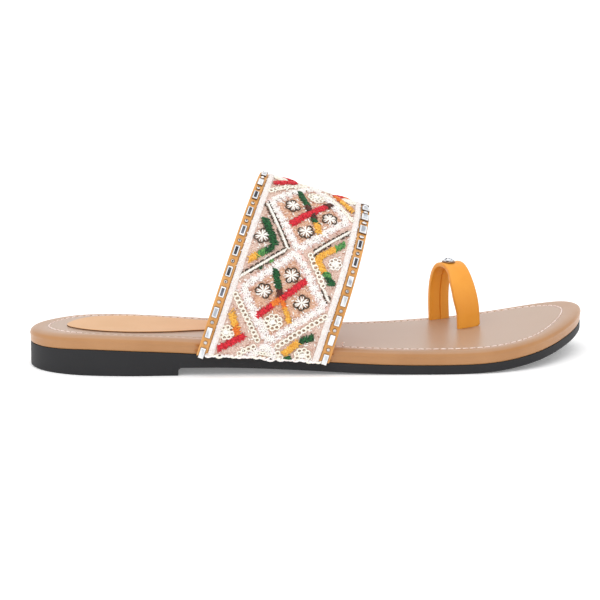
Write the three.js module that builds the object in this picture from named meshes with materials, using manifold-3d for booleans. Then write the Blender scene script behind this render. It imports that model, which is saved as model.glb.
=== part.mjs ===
// A flat kolhapuri sandal for the right foot: a moulded rubber sole with a low heel, a wrapped
// footbed with a heel pad, a broad band over the instep that is lasted in under the footbed and
// carries an embroidered ribbon between two rows of mirror stones, and a toe loop with a stone.
// Millimetres. +X runs to the toe, +Y to the inner, big-toe side, and +Z up from the floor.

import * as THREE from "three";
import { mergeVertices } from "three/addons/utils/BufferGeometryUtils.js";
import Module from "manifold-3d";

const wasm = await Module();
wasm.setup();

// The space left between two pieces that touch on the real sandal
const CLEARANCE = 0.3;

// The sole in plan
const LENGTH = 250;
const BALL_WIDTH = 83;

// The rubber sole: its thickness under the heel and the ball, and what lifts off the floor
const HEEL_HEIGHT = 11.6;
const HEEL_BACK_DIP = 0.8;
const HEEL_BACK_DIP_END = 26;
const FOREFOOT_SOLE = 4.1;
const HEEL_FLAT_END = 18;
const HEEL_BREAST = 63;
const BREAST_RADIUS = 1.6;
const ARCH_GAP = 3.5;
const ARCH_CROWN = 72;
const BALL_FLAT_START = 170;
const SPRING_START = 185;
const TOE_SPRING = 9.5;
const SOLE_BEVEL = 0.7;

// The footbed: its thickness, and the rounding of its wrapped edge
const FOOTBED_THICKNESS = 6.1;
const FOOTBED_EDGE_ROLL = 3.2;
const FOOTBED_EDGE_DROP = 1.7;
const FOOTBED_TUCK = 0.6;

// The heel pad on the footbed, from its round back end to its narrow front end
const PAD_BACK = 16;
const PAD_FRONT = 116;
const PAD_WIDTH = 38.5;
const PAD_THICKNESS = 1.0;
const PAD_EDGE = 0.35;

// The instep band. Its edges lie in planes that lean forward to the toe and are turned in plan,
// the rear one more than the front one. rear and front are where they meet the floor's middle.
const BAND_REAR = { at: 73.8, crown: 81.6, lean: 18.5, turn: 11.3 };
const BAND_FRONT = { at: 129.2, crown: 64.8, lean: 18, turn: 4.6 };
const BAND_WALL = 1.6;
const BAND_ARCH_TOP = 40;
const BAND_CROWN_ACROSS = 3;
const LASTING_MARGIN = 11;
const LASTING_CORNER = 0.6;

// What lies on the band: the ribbon and the two edge trims with their stones
const TRIM_WIDTH = 4.2;
const TRIM_WALL = 1.0;
const RIBBON_WALL = 1.0;
const LAYER_OVERHANG = 0.4;
const FIRST_STONE = 3;
const STONE_PITCH = 9.35;
const BAGUETTE = { long: 5.4, wide: 2.7, rise: 1.3 };
const ROUND_STONE = { radius: 1.15, rise: 1.2 };
const STONE_SEAT = 0.5;

// The toe loop and the stone on its crown
const LOOP_AT = 193;
const LOOP_ACROSS = 20.5;
const LOOP_SPAN = 24.7;
const LOOP_TURN = THREE.MathUtils.degToRad(22);
const LOOP_LEAN = THREE.MathUtils.degToRad(3);
const LOOP_LEG = 4;
const LOOP_RISE = 28.4;
const LOOP_WIDTH = 10.3;
const LOOP_WALL = 2;
const LOOP_ROOT = 3.6;
const STUD_RADIUS = 3.3;
const STUD_CUP_HEIGHT = 0.9;
const STUD_STONE_RADIUS = 2.4;
const STUD_STONE_RISE = 1.3;

// How finely the curved pieces are divided
const OUTLINE_STATIONS = 52;
const TRACE_STEPS = 40;

// Colours of the pieces
const BLACK_RUBBER = { color: 0x2b2b2c, roughness: 0.55, metalness: 0 };
const TAN_LEATHER = { color: 0xc39a6e, roughness: 0.5, metalness: 0 };
const PEACH_LEATHER = { color: 0xe9b27c, roughness: 0.6, metalness: 0 };
const MUSTARD_LEATHER = { color: 0xe09a3c, roughness: 0.45, metalness: 0 };
const CREAM_EMBROIDERY = { color: 0xeadfd2, roughness: 0.9, metalness: 0 };
const MIRROR_STONE = { color: 0xd9dde0, roughness: 0.12, metalness: 0.7 };

// The outline of the sole, seen from above, from the back of the heel along the outer side to
// the toe and back along the inner side. at is a share of LENGTH, across of BALL_WIDTH.
const OUTLINE = [
  { at: 0, across: 0.03 },
  { at: 0.018, across: -0.131 },
  { at: 0.066, across: -0.258 },
  { at: 0.152, across: -0.331 },
  { at: 0.264, across: -0.355 },
  { at: 0.392, across: -0.382 },
  { at: 0.52, across: -0.424 },
  { at: 0.64, across: -0.475 },
  { at: 0.74, across: -0.5 },
  { at: 0.82, across: -0.482 },
  { at: 0.89, across: -0.383 },
  { at: 0.945, across: -0.217 },
  { at: 0.984, across: -0.025 },
  { at: 1, across: 0.169 },
  { at: 0.984, across: 0.345 },
  { at: 0.935, across: 0.46 },
  { at: 0.86, across: 0.5 },
  { at: 0.77, across: 0.472 },
  { at: 0.66, across: 0.398 },
  { at: 0.53, across: 0.329 },
  { at: 0.4, across: 0.295 },
  { at: 0.256, across: 0.317 },
  { at: 0.144, across: 0.337 },
  { at: 0.064, across: 0.287 },
  { at: 0.018, across: 0.187 },
];

// The heel pad seen from above, a spoon that narrows under the band. at is a share of the pad's
// own length, across of its width.
const PAD_OUTLINE = [
  { at: 0, across: 0 },
  { at: 0.035, across: -0.21 },
  { at: 0.12, across: -0.39 },
  { at: 0.26, across: -0.47 },
  { at: 0.42, across: -0.41 },
  { at: 0.62, across: -0.2 },
  { at: 0.82, across: -0.09 },
  { at: 0.97, across: -0.055 },
  { at: 1, across: 0.067 },
  { at: 0.97, across: 0.22 },
  { at: 0.82, across: 0.3 },
  { at: 0.62, across: 0.4 },
  { at: 0.42, across: 0.51 },
  { at: 0.26, across: 0.525 },
  { at: 0.12, across: 0.425 },
  { at: 0.035, across: 0.21 },
];

// Heights along the sandal

function smoothStep(from, to, x) {
  return THREE.MathUtils.smoothstep(x, from, to);
}

function toeSpring(x) {
  const share = Math.max(0, (x - SPRING_START) / (LENGTH - SPRING_START));
  return TOE_SPRING * share * share;
}

function soleTop(x) {
  const fall = smoothStep(HEEL_FLAT_END, BALL_FLAT_START, x);
  const dip = HEEL_BACK_DIP * (1 - smoothStep(0, HEEL_BACK_DIP_END, x));
  return HEEL_HEIGHT - dip + (FOREFOOT_SOLE - HEEL_HEIGHT) * fall + toeSpring(x);
}

function footbedBottom(x) {
  return soleTop(x) + CLEARANCE;
}

function footbedTop(x) {
  return footbedBottom(x) + FOOTBED_THICKNESS;
}

// Outlines in plan

// The outer and inner sides of a closed outline, each as points from its back to its front.
function outlineSides(table, back, length, width) {
  const corners = table.map(
    (p) => new THREE.Vector3(back + p.at * length, p.across * width, 0),
  );
  const curve = new THREE.CatmullRomCurve3(corners, true, "centripetal");
  const trace = curve.getPoints(table.length * TRACE_STEPS);
  let tip = 0;
  trace.forEach((p, i) => {
    if (p.x > trace[tip].x) tip = i;
  });
  return { outer: trace.slice(0, tip + 1), inner: trace.slice(tip).reverse() };
}

// How far across a side lies at x.
function acrossAt(side, x) {
  const next = side.findIndex((p) => p.x >= x);
  if (next <= 0) return next === 0 ? side[0].y : side[side.length - 1].y;
  const a = side[next - 1];
  const b = side[next];
  return THREE.MathUtils.mapLinear(x, a.x, b.x, a.y, b.y);
}

// A ring of points round an outline, moved in by inset: the outer side from the back to the tip,
// then the inner side from the tip to the back.
function outlineRing(sides, inset) {
  const back = sides.outer[0];
  const tip = sides.outer[sides.outer.length - 1];
  const ring = [back];
  const station = (i) =>
    back.x + ((tip.x - back.x) * (1 - Math.cos((Math.PI * i) / OUTLINE_STATIONS))) / 2;
  for (let i = 1; i < OUTLINE_STATIONS; i++)
    ring.push(new THREE.Vector3(station(i), acrossAt(sides.outer, station(i)), 0));
  ring.push(tip);
  for (let i = OUTLINE_STATIONS - 1; i > 0; i--)
    ring.push(new THREE.Vector3(station(i), acrossAt(sides.inner, station(i)), 0));
  return ring.map((p, i) => {
    const before = ring[(i + ring.length - 1) % ring.length];
    const after = ring[(i + 1) % ring.length];
    const along = new THREE.Vector3().subVectors(after, before).normalize();
    return new THREE.Vector3(p.x - along.y * inset, p.y + along.x * inset, 0);
  });
}

// Solids

function geometryOf(points, triangles) {
  const geometry = new THREE.BufferGeometry();
  const flat = points.flatMap((p) => [p.x, p.y, p.z]);
  geometry.setAttribute("position", new THREE.Float32BufferAttribute(flat, 3));
  geometry.setIndex(triangles);
  return geometry;
}

function solidOf(geometry) {
  const bare = geometry.clone();
  bare.deleteAttribute("normal");
  bare.deleteAttribute("uv");
  const merged = mergeVertices(bare, 1e-4);
  return new wasm.Manifold(
    new wasm.Mesh({
      numProp: 3,
      vertProperties: merged.attributes.position.array,
      triVerts: new Uint32Array(merged.index.array),
    }),
  );
}

function geometryFrom(solid) {
  const mesh = solid.getMesh();
  const geometry = new THREE.BufferGeometry();
  const positions = new THREE.Float32BufferAttribute(mesh.vertProperties, mesh.numProp);
  geometry.setAttribute("position", positions);
  geometry.setIndex([...mesh.triVerts]);
  return geometry;
}

// A solid through rings of one outline, lowest first, each at its own inset and height. The
// faces at the bottom and the top run straight across from the outer to the inner side.
function ringSolid(sides, levels) {
  const points = [];
  const triangles = [];
  for (const level of levels)
    for (const p of outlineRing(sides, level.inset))
      points.push(new THREE.Vector3(p.x, p.y, level.height(p.x)));
  const count = 2 * OUTLINE_STATIONS;
  for (let k = 0; k < levels.length - 1; k++)
    for (let i = 0; i < count; i++) {
      const a = k * count + i;
      const b = k * count + ((i + 1) % count);
      triangles.push(a, b, b + count, a, b + count, a + count);
    }
  const top = (levels.length - 1) * count;
  const innerSide = (i) => (count - i) % count;
  for (let i = 0; i < OUTLINE_STATIONS; i++) {
    const quad = [i, i + 1, innerSide(i + 1), innerSide(i)];
    const faces = [];
    if (i + 1 < OUTLINE_STATIONS) faces.push([quad[0], quad[1], quad[2]]);
    if (i > 0) faces.push([quad[0], quad[2], quad[3]]);
    if (i + 1 === OUTLINE_STATIONS) faces[0] = [quad[0], quad[1], quad[3]];
    for (const [a, b, c] of faces) {
      triangles.push(top + a, top + b, top + c);
      triangles.push(a, c, b);
    }
  }
  return geometryOf(points, triangles);
}

// A closed shell between an outer and an inner face, both given as face(i, j) over a grid.
function shellSolid(columns, rows, outer, inner) {
  const points = [];
  const triangles = [];
  const stride = rows + 1;
  const face = (columns + 1) * stride;
  for (const side of [outer, inner])
    for (let i = 0; i <= columns; i++)
      for (let j = 0; j <= rows; j++) points.push(side(i, j));
  const quad = (a, b, c, d) => triangles.push(a, b, c, a, c, d);
  const at = (i, j) => i * stride + j;
  for (let i = 0; i < columns; i++)
    for (let j = 0; j < rows; j++) {
      quad(at(i, j), at(i, j + 1), at(i + 1, j + 1), at(i + 1, j));
      quad(
        face + at(i, j),
        face + at(i + 1, j),
        face + at(i + 1, j + 1),
        face + at(i, j + 1),
      );
    }
  for (let i = 0; i < columns; i++) {
    quad(at(i, 0), at(i + 1, 0), face + at(i + 1, 0), face + at(i, 0));
    quad(at(i + 1, rows), at(i, rows), face + at(i, rows), face + at(i + 1, rows));
  }
  for (let j = 0; j < rows; j++) {
    quad(at(0, j + 1), at(0, j), face + at(0, j), face + at(0, j + 1));
    quad(
      at(columns, j),
      at(columns, j + 1),
      face + at(columns, j + 1),
      face + at(columns, j),
    );
  }
  return geometryOf(points, triangles);
}

// The rubber sole: one moulding, hollowed under the arch in front of the heel breast.

const soleSides = outlineSides(OUTLINE, 0, LENGTH, BALL_WIDTH);

function archHollow() {
  const profile = new THREE.Shape();
  const below = -1;
  const archHeight = (x) => ARCH_GAP * (1 - smoothStep(ARCH_CROWN, BALL_FLAT_START, x));
  profile.moveTo(HEEL_BREAST, below);
  profile.lineTo(HEEL_BREAST, ARCH_GAP - BREAST_RADIUS);
  profile.absarc(
    HEEL_BREAST + BREAST_RADIUS,
    ARCH_GAP - BREAST_RADIUS,
    BREAST_RADIUS,
    Math.PI,
    Math.PI / 2,
    true,
  );
  const steps = 16;
  for (let i = 0; i <= steps; i++) {
    const x = THREE.MathUtils.lerp(ARCH_CROWN, BALL_FLAT_START, i / steps);
    profile.lineTo(x, archHeight(x));
  }
  profile.lineTo(BALL_FLAT_START, below);
  const width = 2 * BALL_WIDTH;
  const hollow = new THREE.ExtrudeGeometry(profile, {
    depth: width,
    bevelEnabled: false,
    curveSegments: 6,
  });
  hollow.rotateX(Math.PI / 2);
  hollow.translate(0, width / 2, 0);
  return hollow;
}

function outsole() {
  const slab = ringSolid(soleSides, [
    { inset: SOLE_BEVEL, height: toeSpring },
    { inset: 0, height: (x) => toeSpring(x) + SOLE_BEVEL },
    { inset: 0, height: soleTop },
  ]);
  return geometryFrom(solidOf(slab).subtract(solidOf(archHollow())));
}

// The instep band. A section is the band's inner face in one leaning plane, as distances across
// and up the plane with the way out of the face: from the margin under the footbed, round its
// side, up the outer leg, over the crown and down the inner leg to the other margin.

const SECTION_STEPS = { corner: 3, leg: 5, quarter: 11 };
const BAND_ROWS = 8;

function bandPlane(v) {
  const between = (key) => THREE.MathUtils.lerp(BAND_REAR[key], BAND_FRONT[key], v);
  return {
    at: between("at"),
    crown: between("crown"),
    lean: THREE.MathUtils.degToRad(between("lean")),
    skew: Math.tan(THREE.MathUtils.degToRad(between("turn"))),
  };
}

// The height up the plane of the joint under the footbed, and how far across its edge lies there.
function bandFoot(plane, side) {
  let x = plane.at;
  for (let i = 0; i < 4; i++)
    x = plane.at + soleTop(x) * Math.tan(plane.lean) + acrossAt(side, x) * plane.skew;
  return { across: acrossAt(side, x), joint: footbedBottom(x) / Math.cos(plane.lean) };
}

// With margin 0 the section has no margins, and its legs end at the joint.
function bandSection(v, margin) {
  const plane = bandPlane(v);
  const leg = plane.crown / Math.cos(plane.lean) - BAND_ARCH_TOP;
  const r = LASTING_CORNER;
  const steps = SECTION_STEPS;
  const legHalf = (side, way) => {
    const foot = bandFoot(plane, side);
    const y = foot.across + way * CLEARANCE;
    const seat = foot.joint + BAND_WALL / Math.cos(plane.lean);
    const half = [];
    if (margin > 0) {
      half.push({ y: y - way * margin, w: seat, ny: 0, nw: -1 });
      for (let i = 0; i < steps.corner; i++) {
        const turn = ((Math.PI / 2) * i) / steps.corner;
        const ny = way * Math.sin(turn);
        const nw = -Math.cos(turn);
        half.push({ y: y - way * r + r * ny, w: seat + r + r * nw, ny, nw });
      }
    }
    const start = margin > 0 ? seat + r : foot.joint - LAYER_OVERHANG;
    for (let i = 0; i < steps.leg; i++)
      half.push({ y, w: THREE.MathUtils.lerp(start, leg, i / steps.leg), ny: way, nw: 0 });
    const reach = way * (y - BAND_CROWN_ACROSS);
    for (let i = 0; i < steps.quarter; i++) {
      const turn = ((Math.PI / 2) * i) / steps.quarter;
      const out = new THREE.Vector2(Math.cos(turn) / reach, Math.sin(turn) / BAND_ARCH_TOP);
      out.normalize();
      const across = BAND_CROWN_ACROSS + way * reach * Math.cos(turn);
      const w = leg + BAND_ARCH_TOP * Math.sin(turn);
      half.push({ y: across, w, ny: way * out.x, nw: out.y });
    }
    return half;
  };
  const crown = { y: BAND_CROWN_ACROSS, w: leg + BAND_ARCH_TOP, ny: 0, nw: 1 };
  const outer = legHalf(soleSides.outer, -1);
  const inner = legHalf(soleSides.inner, 1);
  return { plane, points: [...outer, crown, ...inner.reverse()] };
}

function bandPoint(section, i, lift) {
  const p = section.points[i];
  const { plane } = section;
  const w = p.w + p.nw * lift;
  const y = p.y + p.ny * lift;
  const x = plane.at + w * Math.sin(plane.lean) + y * plane.skew;
  return new THREE.Vector3(x, y, w * Math.cos(plane.lean));
}

// A layer of the band between two lifts over its inner face, from v rearV to v frontV.
function bandLayer(rearV, frontV, low, high, rows, margin) {
  const sections = [];
  for (let j = 0; j <= rows; j++)
    sections.push(bandSection(THREE.MathUtils.lerp(rearV, frontV, j / rows), margin));
  return shellSolid(
    sections[0].points.length - 1,
    rows,
    (i, j) => bandPoint(sections[j], i, high),
    (i, j) => bandPoint(sections[j], i, low),
  );
}

const bandSpan = BAND_FRONT.at - BAND_REAR.at;
const trimShare = TRIM_WIDTH / bandSpan;
const ribbonEdge = trimShare + CLEARANCE / bandSpan;
const layerLow = BAND_WALL + CLEARANCE;

function upperBand() {
  return bandLayer(0, 1, 0, BAND_WALL, BAND_ROWS, LASTING_MARGIN);
}

// The room that the footbed leaves for the band's margins, wider than they are by the clearance.
function marginRoom() {
  const spare = (1.4 * CLEARANCE) / bandSpan;
  const below = BAND_WALL + 2 * CLEARANCE + FOOTBED_TUCK;
  const margin = LASTING_MARGIN + CLEARANCE;
  return bandLayer(-spare, 1 + spare, -CLEARANCE, below, BAND_ROWS, margin);
}

function embroideredRibbon() {
  const high = layerLow + RIBBON_WALL;
  return bandLayer(ribbonEdge, 1 - ribbonEdge, layerLow, high, BAND_ROWS, 0);
}

// A place on the band at a distance along it from the outer side's foot, as a frame whose X runs
// across the band to the toe, Y along it over the crown, and Z out of it.
function bandFrame(distance, v, lift) {
  const section = bandSection(v, 0);
  let left = distance;
  let i = 0;
  let a = bandPoint(section, i, lift);
  let b = bandPoint(section, i + 1, lift);
  while (left > a.distanceTo(b) && i + 2 < section.points.length) {
    left -= a.distanceTo(b);
    i += 1;
    a = b;
    b = bandPoint(section, i + 1, lift);
  }
  const along = new THREE.Vector3().subVectors(b, a).normalize();
  const centre = a.clone().addScaledVector(along, left);
  const ahead = bandPoint(bandSection(v + 0.02, 0), i, lift);
  const across = new THREE.Vector3().subVectors(ahead, a);
  across.addScaledVector(along, -across.dot(along)).normalize();
  const out = new THREE.Vector3().crossVectors(across, along);
  return new THREE.Matrix4().makeBasis(across, along, out).setPosition(centre);
}

function bandLength(v, lift) {
  const section = bandSection(v, 0);
  let length = 0;
  for (let i = 0; i + 1 < section.points.length; i++)
    length += bandPoint(section, i, lift).distanceTo(bandPoint(section, i + 1, lift));
  return length;
}

// An edge trim with its stones let into the strip, a baguette and a round stone turn by turn.
function edgeTrim(rearV, frontV) {
  const high = layerLow + TRIM_WALL;
  const middle = (rearV + frontV) / 2;
  let trim = solidOf(bandLayer(rearV, frontV, layerLow, high, 1, 0));
  const last = bandLength(middle, high) - FIRST_STONE;
  for (let at = FIRST_STONE; at <= last; at += STONE_PITCH) {
    const box = new THREE.BoxGeometry(
      BAGUETTE.wide,
      BAGUETTE.long,
      BAGUETTE.rise + STONE_SEAT,
    );
    box.translate(0, 0, (BAGUETTE.rise - STONE_SEAT) / 2);
    box.applyMatrix4(bandFrame(at, middle, high));
    trim = trim.add(solidOf(box));
  }
  for (let at = FIRST_STONE + STONE_PITCH / 2; at <= last; at += STONE_PITCH) {
    const round = new THREE.CylinderGeometry(
      ROUND_STONE.radius * 0.6,
      ROUND_STONE.radius,
      ROUND_STONE.rise + STONE_SEAT,
      8,
    );
    round.rotateX(Math.PI / 2);
    round.translate(0, 0, (ROUND_STONE.rise - STONE_SEAT) / 2);
    round.applyMatrix4(bandFrame(at, middle, high));
    trim = trim.add(solidOf(round));
  }
  return geometryFrom(trim);
}

// The toe loop: a flat strap bent to an arch, which leans back a little. Its two ends are let
// into slots in the footbed.

const LOOP_STEPS = { leg: 2, half: 18 };
const LOOP_ROWS = 2;

// The loop's middle line, as distances along its span and heights over the footbed.
function loopLine(rootDepth) {
  const radius = LOOP_SPAN / 2;
  const arch = LOOP_RISE - LOOP_WALL / 2 - LOOP_LEG;
  const points = [];
  for (let i = 0; i < LOOP_STEPS.leg; i++) {
    const z = THREE.MathUtils.lerp(-rootDepth, LOOP_LEG, i / LOOP_STEPS.leg);
    points.push({ c: -radius, z, nc: -1, nz: 0 });
  }
  for (let i = 0; i <= LOOP_STEPS.half; i++) {
    const turn = (Math.PI * i) / LOOP_STEPS.half;
    const out = new THREE.Vector2(-Math.cos(turn) / radius, Math.sin(turn) / arch).normalize();
    const z = LOOP_LEG + arch * Math.sin(turn);
    points.push({ c: -radius * Math.cos(turn), z, nc: out.x, nz: out.y });
  }
  for (let i = 1; i <= LOOP_STEPS.leg; i++) {
    const z = THREE.MathUtils.lerp(LOOP_LEG, -rootDepth, i / LOOP_STEPS.leg);
    points.push({ c: radius, z, nc: 1, nz: 0 });
  }
  return points;
}

function loopFrame() {
  const place = new THREE.Matrix4().makeTranslation(LOOP_AT, LOOP_ACROSS, footbedTop(LOOP_AT));
  const turn = new THREE.Matrix4().makeRotationZ(LOOP_TURN);
  const lean = new THREE.Matrix4().makeRotationY(-LOOP_LEAN);
  return place.multiply(turn).multiply(lean);
}

function loopSolid(grow) {
  const line = loopLine(LOOP_ROOT + grow);
  const place = (i, j, lift) => {
    const p = line[i];
    const share = j / LOOP_ROWS - 0.5;
    return new THREE.Vector3(
      share * (LOOP_WIDTH + 2 * grow),
      p.c + p.nc * lift,
      p.z + p.nz * lift,
    );
  };
  return shellSolid(
    line.length - 1,
    LOOP_ROWS,
    (i, j) => place(i, j, LOOP_WALL / 2 + grow),
    (i, j) => place(i, j, -LOOP_WALL / 2 - grow),
  ).applyMatrix4(loopFrame());
}

// The stud on the loop's crown: a metal cup with a domed stone.
function toeStud() {
  const profile = [
    new THREE.Vector2(0, 0),
    new THREE.Vector2(STUD_RADIUS * 0.85, 0),
    new THREE.Vector2(STUD_RADIUS, STUD_CUP_HEIGHT * 0.5),
    new THREE.Vector2(STUD_RADIUS * 0.92, STUD_CUP_HEIGHT),
    new THREE.Vector2(STUD_STONE_RADIUS, STUD_CUP_HEIGHT),
    new THREE.Vector2(STUD_STONE_RADIUS * 0.6, STUD_CUP_HEIGHT + STUD_STONE_RISE),
    new THREE.Vector2(0, STUD_CUP_HEIGHT + STUD_STONE_RISE),
  ];
  const stud = new THREE.LatheGeometry(profile, 16);
  stud.rotateX(Math.PI / 2);
  stud.translate(0, 0, LOOP_RISE + CLEARANCE);
  return stud.applyMatrix4(loopFrame());
}

// The footbed: a wrapped board with a rounded edge, cut out below for the band's margins and
// slotted for the toe loop.
function footbed() {
  const edgeSteps = 5;
  const levels = [
    { inset: FOOTBED_TUCK, height: footbedBottom },
    { inset: 0, height: (x) => footbedBottom(x) + FOOTBED_TUCK },
  ];
  for (let k = 0; k <= edgeSteps; k++) {
    const turn = ((Math.PI / 2) * k) / edgeSteps;
    levels.push({
      inset: FOOTBED_EDGE_ROLL * (1 - Math.cos(turn)),
      height: (x) => footbedTop(x) - FOOTBED_EDGE_DROP * (1 - Math.sin(turn)),
    });
  }
  return geometryFrom(
    solidOf(ringSolid(soleSides, levels))
      .subtract(solidOf(marginRoom()))
      .subtract(solidOf(loopSolid(CLEARANCE))),
  );
}

function heelPad() {
  const sides = outlineSides(PAD_OUTLINE, PAD_BACK, PAD_FRONT - PAD_BACK, PAD_WIDTH);
  const bottom = (x) => footbedTop(x) + CLEARANCE;
  return ringSolid(sides, [
    { inset: 0, height: bottom },
    { inset: 0, height: (x) => bottom(x) + PAD_THICKNESS - PAD_EDGE },
    { inset: PAD_EDGE, height: (x) => bottom(x) + PAD_THICKNESS },
  ]);
}

// The sandal

const sandal = new THREE.Group();
sandal.position.x = -LENGTH / 2;

function addPiece(name, geometry, finish) {
  const piece = new THREE.Mesh(geometry, new THREE.MeshStandardMaterial(finish));
  piece.name = name;
  sandal.add(piece);
  return piece;
}

addPiece("outsole", outsole(), BLACK_RUBBER);
addPiece("footbed", footbed(), TAN_LEATHER);
addPiece("heel_pad", heelPad(), PEACH_LEATHER);
addPiece("upper_band", upperBand(), MUSTARD_LEATHER);
addPiece("embroidered_ribbon", embroideredRibbon(), CREAM_EMBROIDERY);
addPiece("rear_stone_trim", edgeTrim(0, trimShare), MUSTARD_LEATHER);
addPiece("front_stone_trim", edgeTrim(1 - trimShare, 1), MUSTARD_LEATHER);
addPiece("toe_loop", loopSolid(0), MUSTARD_LEATHER);
addPiece("toe_loop_stud", toeStud(), MIRROR_STONE);

export default sandal;
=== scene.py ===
import math
import random

import bmesh
import bpy
import numpy as np
from mathutils import Matrix, Vector


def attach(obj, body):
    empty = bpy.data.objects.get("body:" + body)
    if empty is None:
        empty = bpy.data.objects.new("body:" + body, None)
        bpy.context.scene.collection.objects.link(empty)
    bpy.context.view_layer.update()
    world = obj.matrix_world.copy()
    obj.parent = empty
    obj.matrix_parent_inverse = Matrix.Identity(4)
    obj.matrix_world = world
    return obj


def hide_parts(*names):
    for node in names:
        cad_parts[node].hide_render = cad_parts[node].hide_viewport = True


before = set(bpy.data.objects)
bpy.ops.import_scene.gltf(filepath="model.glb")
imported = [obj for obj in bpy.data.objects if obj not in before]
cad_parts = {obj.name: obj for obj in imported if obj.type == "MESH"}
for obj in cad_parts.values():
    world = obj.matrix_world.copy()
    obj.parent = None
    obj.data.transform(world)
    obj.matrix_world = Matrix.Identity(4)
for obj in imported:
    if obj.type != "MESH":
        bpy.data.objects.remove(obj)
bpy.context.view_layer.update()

# Camera, floor and studio light
# The camera looks at the sandal's outer side, a little from the heel's end and from above, with
# a long lens. The floor is a pale sweep with a faint glow of its own, like a light table, in a
# soft white room with one broad light from above.

MM = 0.001
CAMERA_AZIMUTH = math.radians(-7)
CAMERA_ELEVATION = math.radians(10.77)
CAMERA_DISTANCE = 1.3
CAMERA_AIM = Vector((-0.00497, 0.0005, 0.0268))
FIELD_WIDTH = 0.26804
SENSOR_WIDTH = 36


def placed(name, data):
    """An object in the scene, at the origin."""
    made = bpy.data.objects.new(name, data)
    bpy.context.scene.collection.objects.link(made)
    return made


away = Vector((
    math.sin(CAMERA_AZIMUTH) * math.cos(CAMERA_ELEVATION),
    -math.cos(CAMERA_AZIMUTH) * math.cos(CAMERA_ELEVATION),
    math.sin(CAMERA_ELEVATION),
))
camera_data = bpy.data.cameras.new("camera")
camera_data.sensor_width = SENSOR_WIDTH
camera_data.lens = SENSOR_WIDTH * CAMERA_DISTANCE / FIELD_WIDTH
camera_data.clip_start = 0.05
camera_data.clip_end = 60
camera = placed("camera", camera_data)
camera.location = CAMERA_AIM + away * CAMERA_DISTANCE
camera.rotation_euler = (-away).to_track_quat("-Z", "Y").to_euler()
bpy.context.scene.camera = camera
bpy.context.scene.view_settings.view_transform = "Standard"


def made_of(name, bm):
    """An object whose mesh is what a bmesh holds, which is then freed."""
    mesh = bpy.data.meshes.new(name)
    bm.to_mesh(mesh)
    bm.free()
    return placed(name, mesh)


def feed(tree, node, **inputs):
    """Sets a node's inputs by name, underscores standing for spaces, each to a value or to
    another node's output."""
    for name, value in inputs.items():
        socket = node.inputs[name.replace("_", " ")]
        if isinstance(value, bpy.types.NodeSocket):
            tree.links.new(value, socket)
        else:
            socket.default_value = value
    return node


def add(tree, kind, **inputs):
    """A shader node of a kind, with its inputs fed."""
    return feed(tree, tree.nodes.new("ShaderNode" + kind), **inputs)


def new_material(name):
    """A material with only its output and its Principled shader, and the shader's tree."""
    material = bpy.data.materials.new(name)
    material.use_nodes = True
    tree = material.node_tree
    return material, tree, tree.nodes["Principled BSDF"]


WHITE = (1, 1, 1, 1)
FLOOR_SIZE = 9.0
FLOOR_COLOUR = (0.93, 0.93, 0.935, 1)
FLOOR_GLOW = 0.2
ROOM_LIGHT = 1.05
TOP_LIGHT = 0.8
TOP_LIGHT_ANGLE = math.radians(70)
TOP_LIGHT_TURN = (math.radians(24), math.radians(-16), 0)

floor_bm = bmesh.new()
bmesh.ops.create_grid(floor_bm, x_segments=1, y_segments=1, size=FLOOR_SIZE)
floor = made_of("floor", floor_bm)
floor_paint, tree, shader = new_material("pale_floor")
feed(tree, shader, Base_Color=FLOOR_COLOUR, Roughness=0.85, Emission_Color=WHITE,
     Emission_Strength=FLOOR_GLOW)
floor.data.materials.append(floor_paint)

room = bpy.data.worlds.new("soft_room")
room.use_nodes = True
feed(room.node_tree, room.node_tree.nodes["Background"], Color=WHITE, Strength=ROOM_LIGHT)
bpy.context.scene.world = room

sun_data = bpy.data.lights.new("top_light", "SUN")
sun_data.energy = TOP_LIGHT
sun_data.angle = TOP_LIGHT_ANGLE
sun = placed("top_light", sun_data)
sun.rotation_euler = TOP_LIGHT_TURN

# Rubber sole
# One black rubber moulding, flat under the heel and the ball, with a low heel breast, a hollow
# under the arch and a slow toe spring. Its side is matt and very finely pored.

SOLE_EDGE_BEVEL = 0.35
SMOOTH_BELOW = math.radians(32)
RUBBER_COLOUR = (0.010, 0.010, 0.0115, 1)
RUBBER_WORN = (0.019, 0.019, 0.021, 1)


def merged_copy(node, name):
    """A node's solid as one joined mesh of its own, still in metres and in its place."""
    bm = bmesh.new()
    bm.from_mesh(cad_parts[node].data)
    bmesh.ops.remove_doubles(bm, verts=bm.verts, dist=0.002 * MM)
    bmesh.ops.dissolve_limit(
        bm, angle_limit=math.radians(0.4), verts=bm.verts, edges=bm.edges
    )
    return made_of(name, bm)


def smooth(piece, angle=SMOOTH_BELOW):
    """Shades a piece smooth, with its sharper edges kept."""
    for face in piece.data.polygons:
        face.use_smooth = True
    piece.data.set_sharp_from_angle(angle=angle)
    return piece


def bevel_edges(piece, width):
    bevel = piece.modifiers.new("edges", "BEVEL")
    bevel.width = width * MM
    bevel.segments = 2
    bevel.limit_method = "ANGLE"
    bevel.angle_limit = math.radians(40)
    bevel.harden_normals = True
    return piece


def mixed(tree, share, light, deep):
    """The colour a share of the way from one colour to another."""
    made = tree.nodes.new("ShaderNodeMix")
    made.data_type = "RGBA"
    return feed(tree, made, Factor=share, A=light, B=deep).outputs["Result"]


def ramp(tree, value, low, high):
    """0 up to a low value and 1 from a high one, with a straight slope between."""
    return add(tree, "MapRange", Value=value, From_Min=low, From_Max=high).outputs["Result"]


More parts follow.
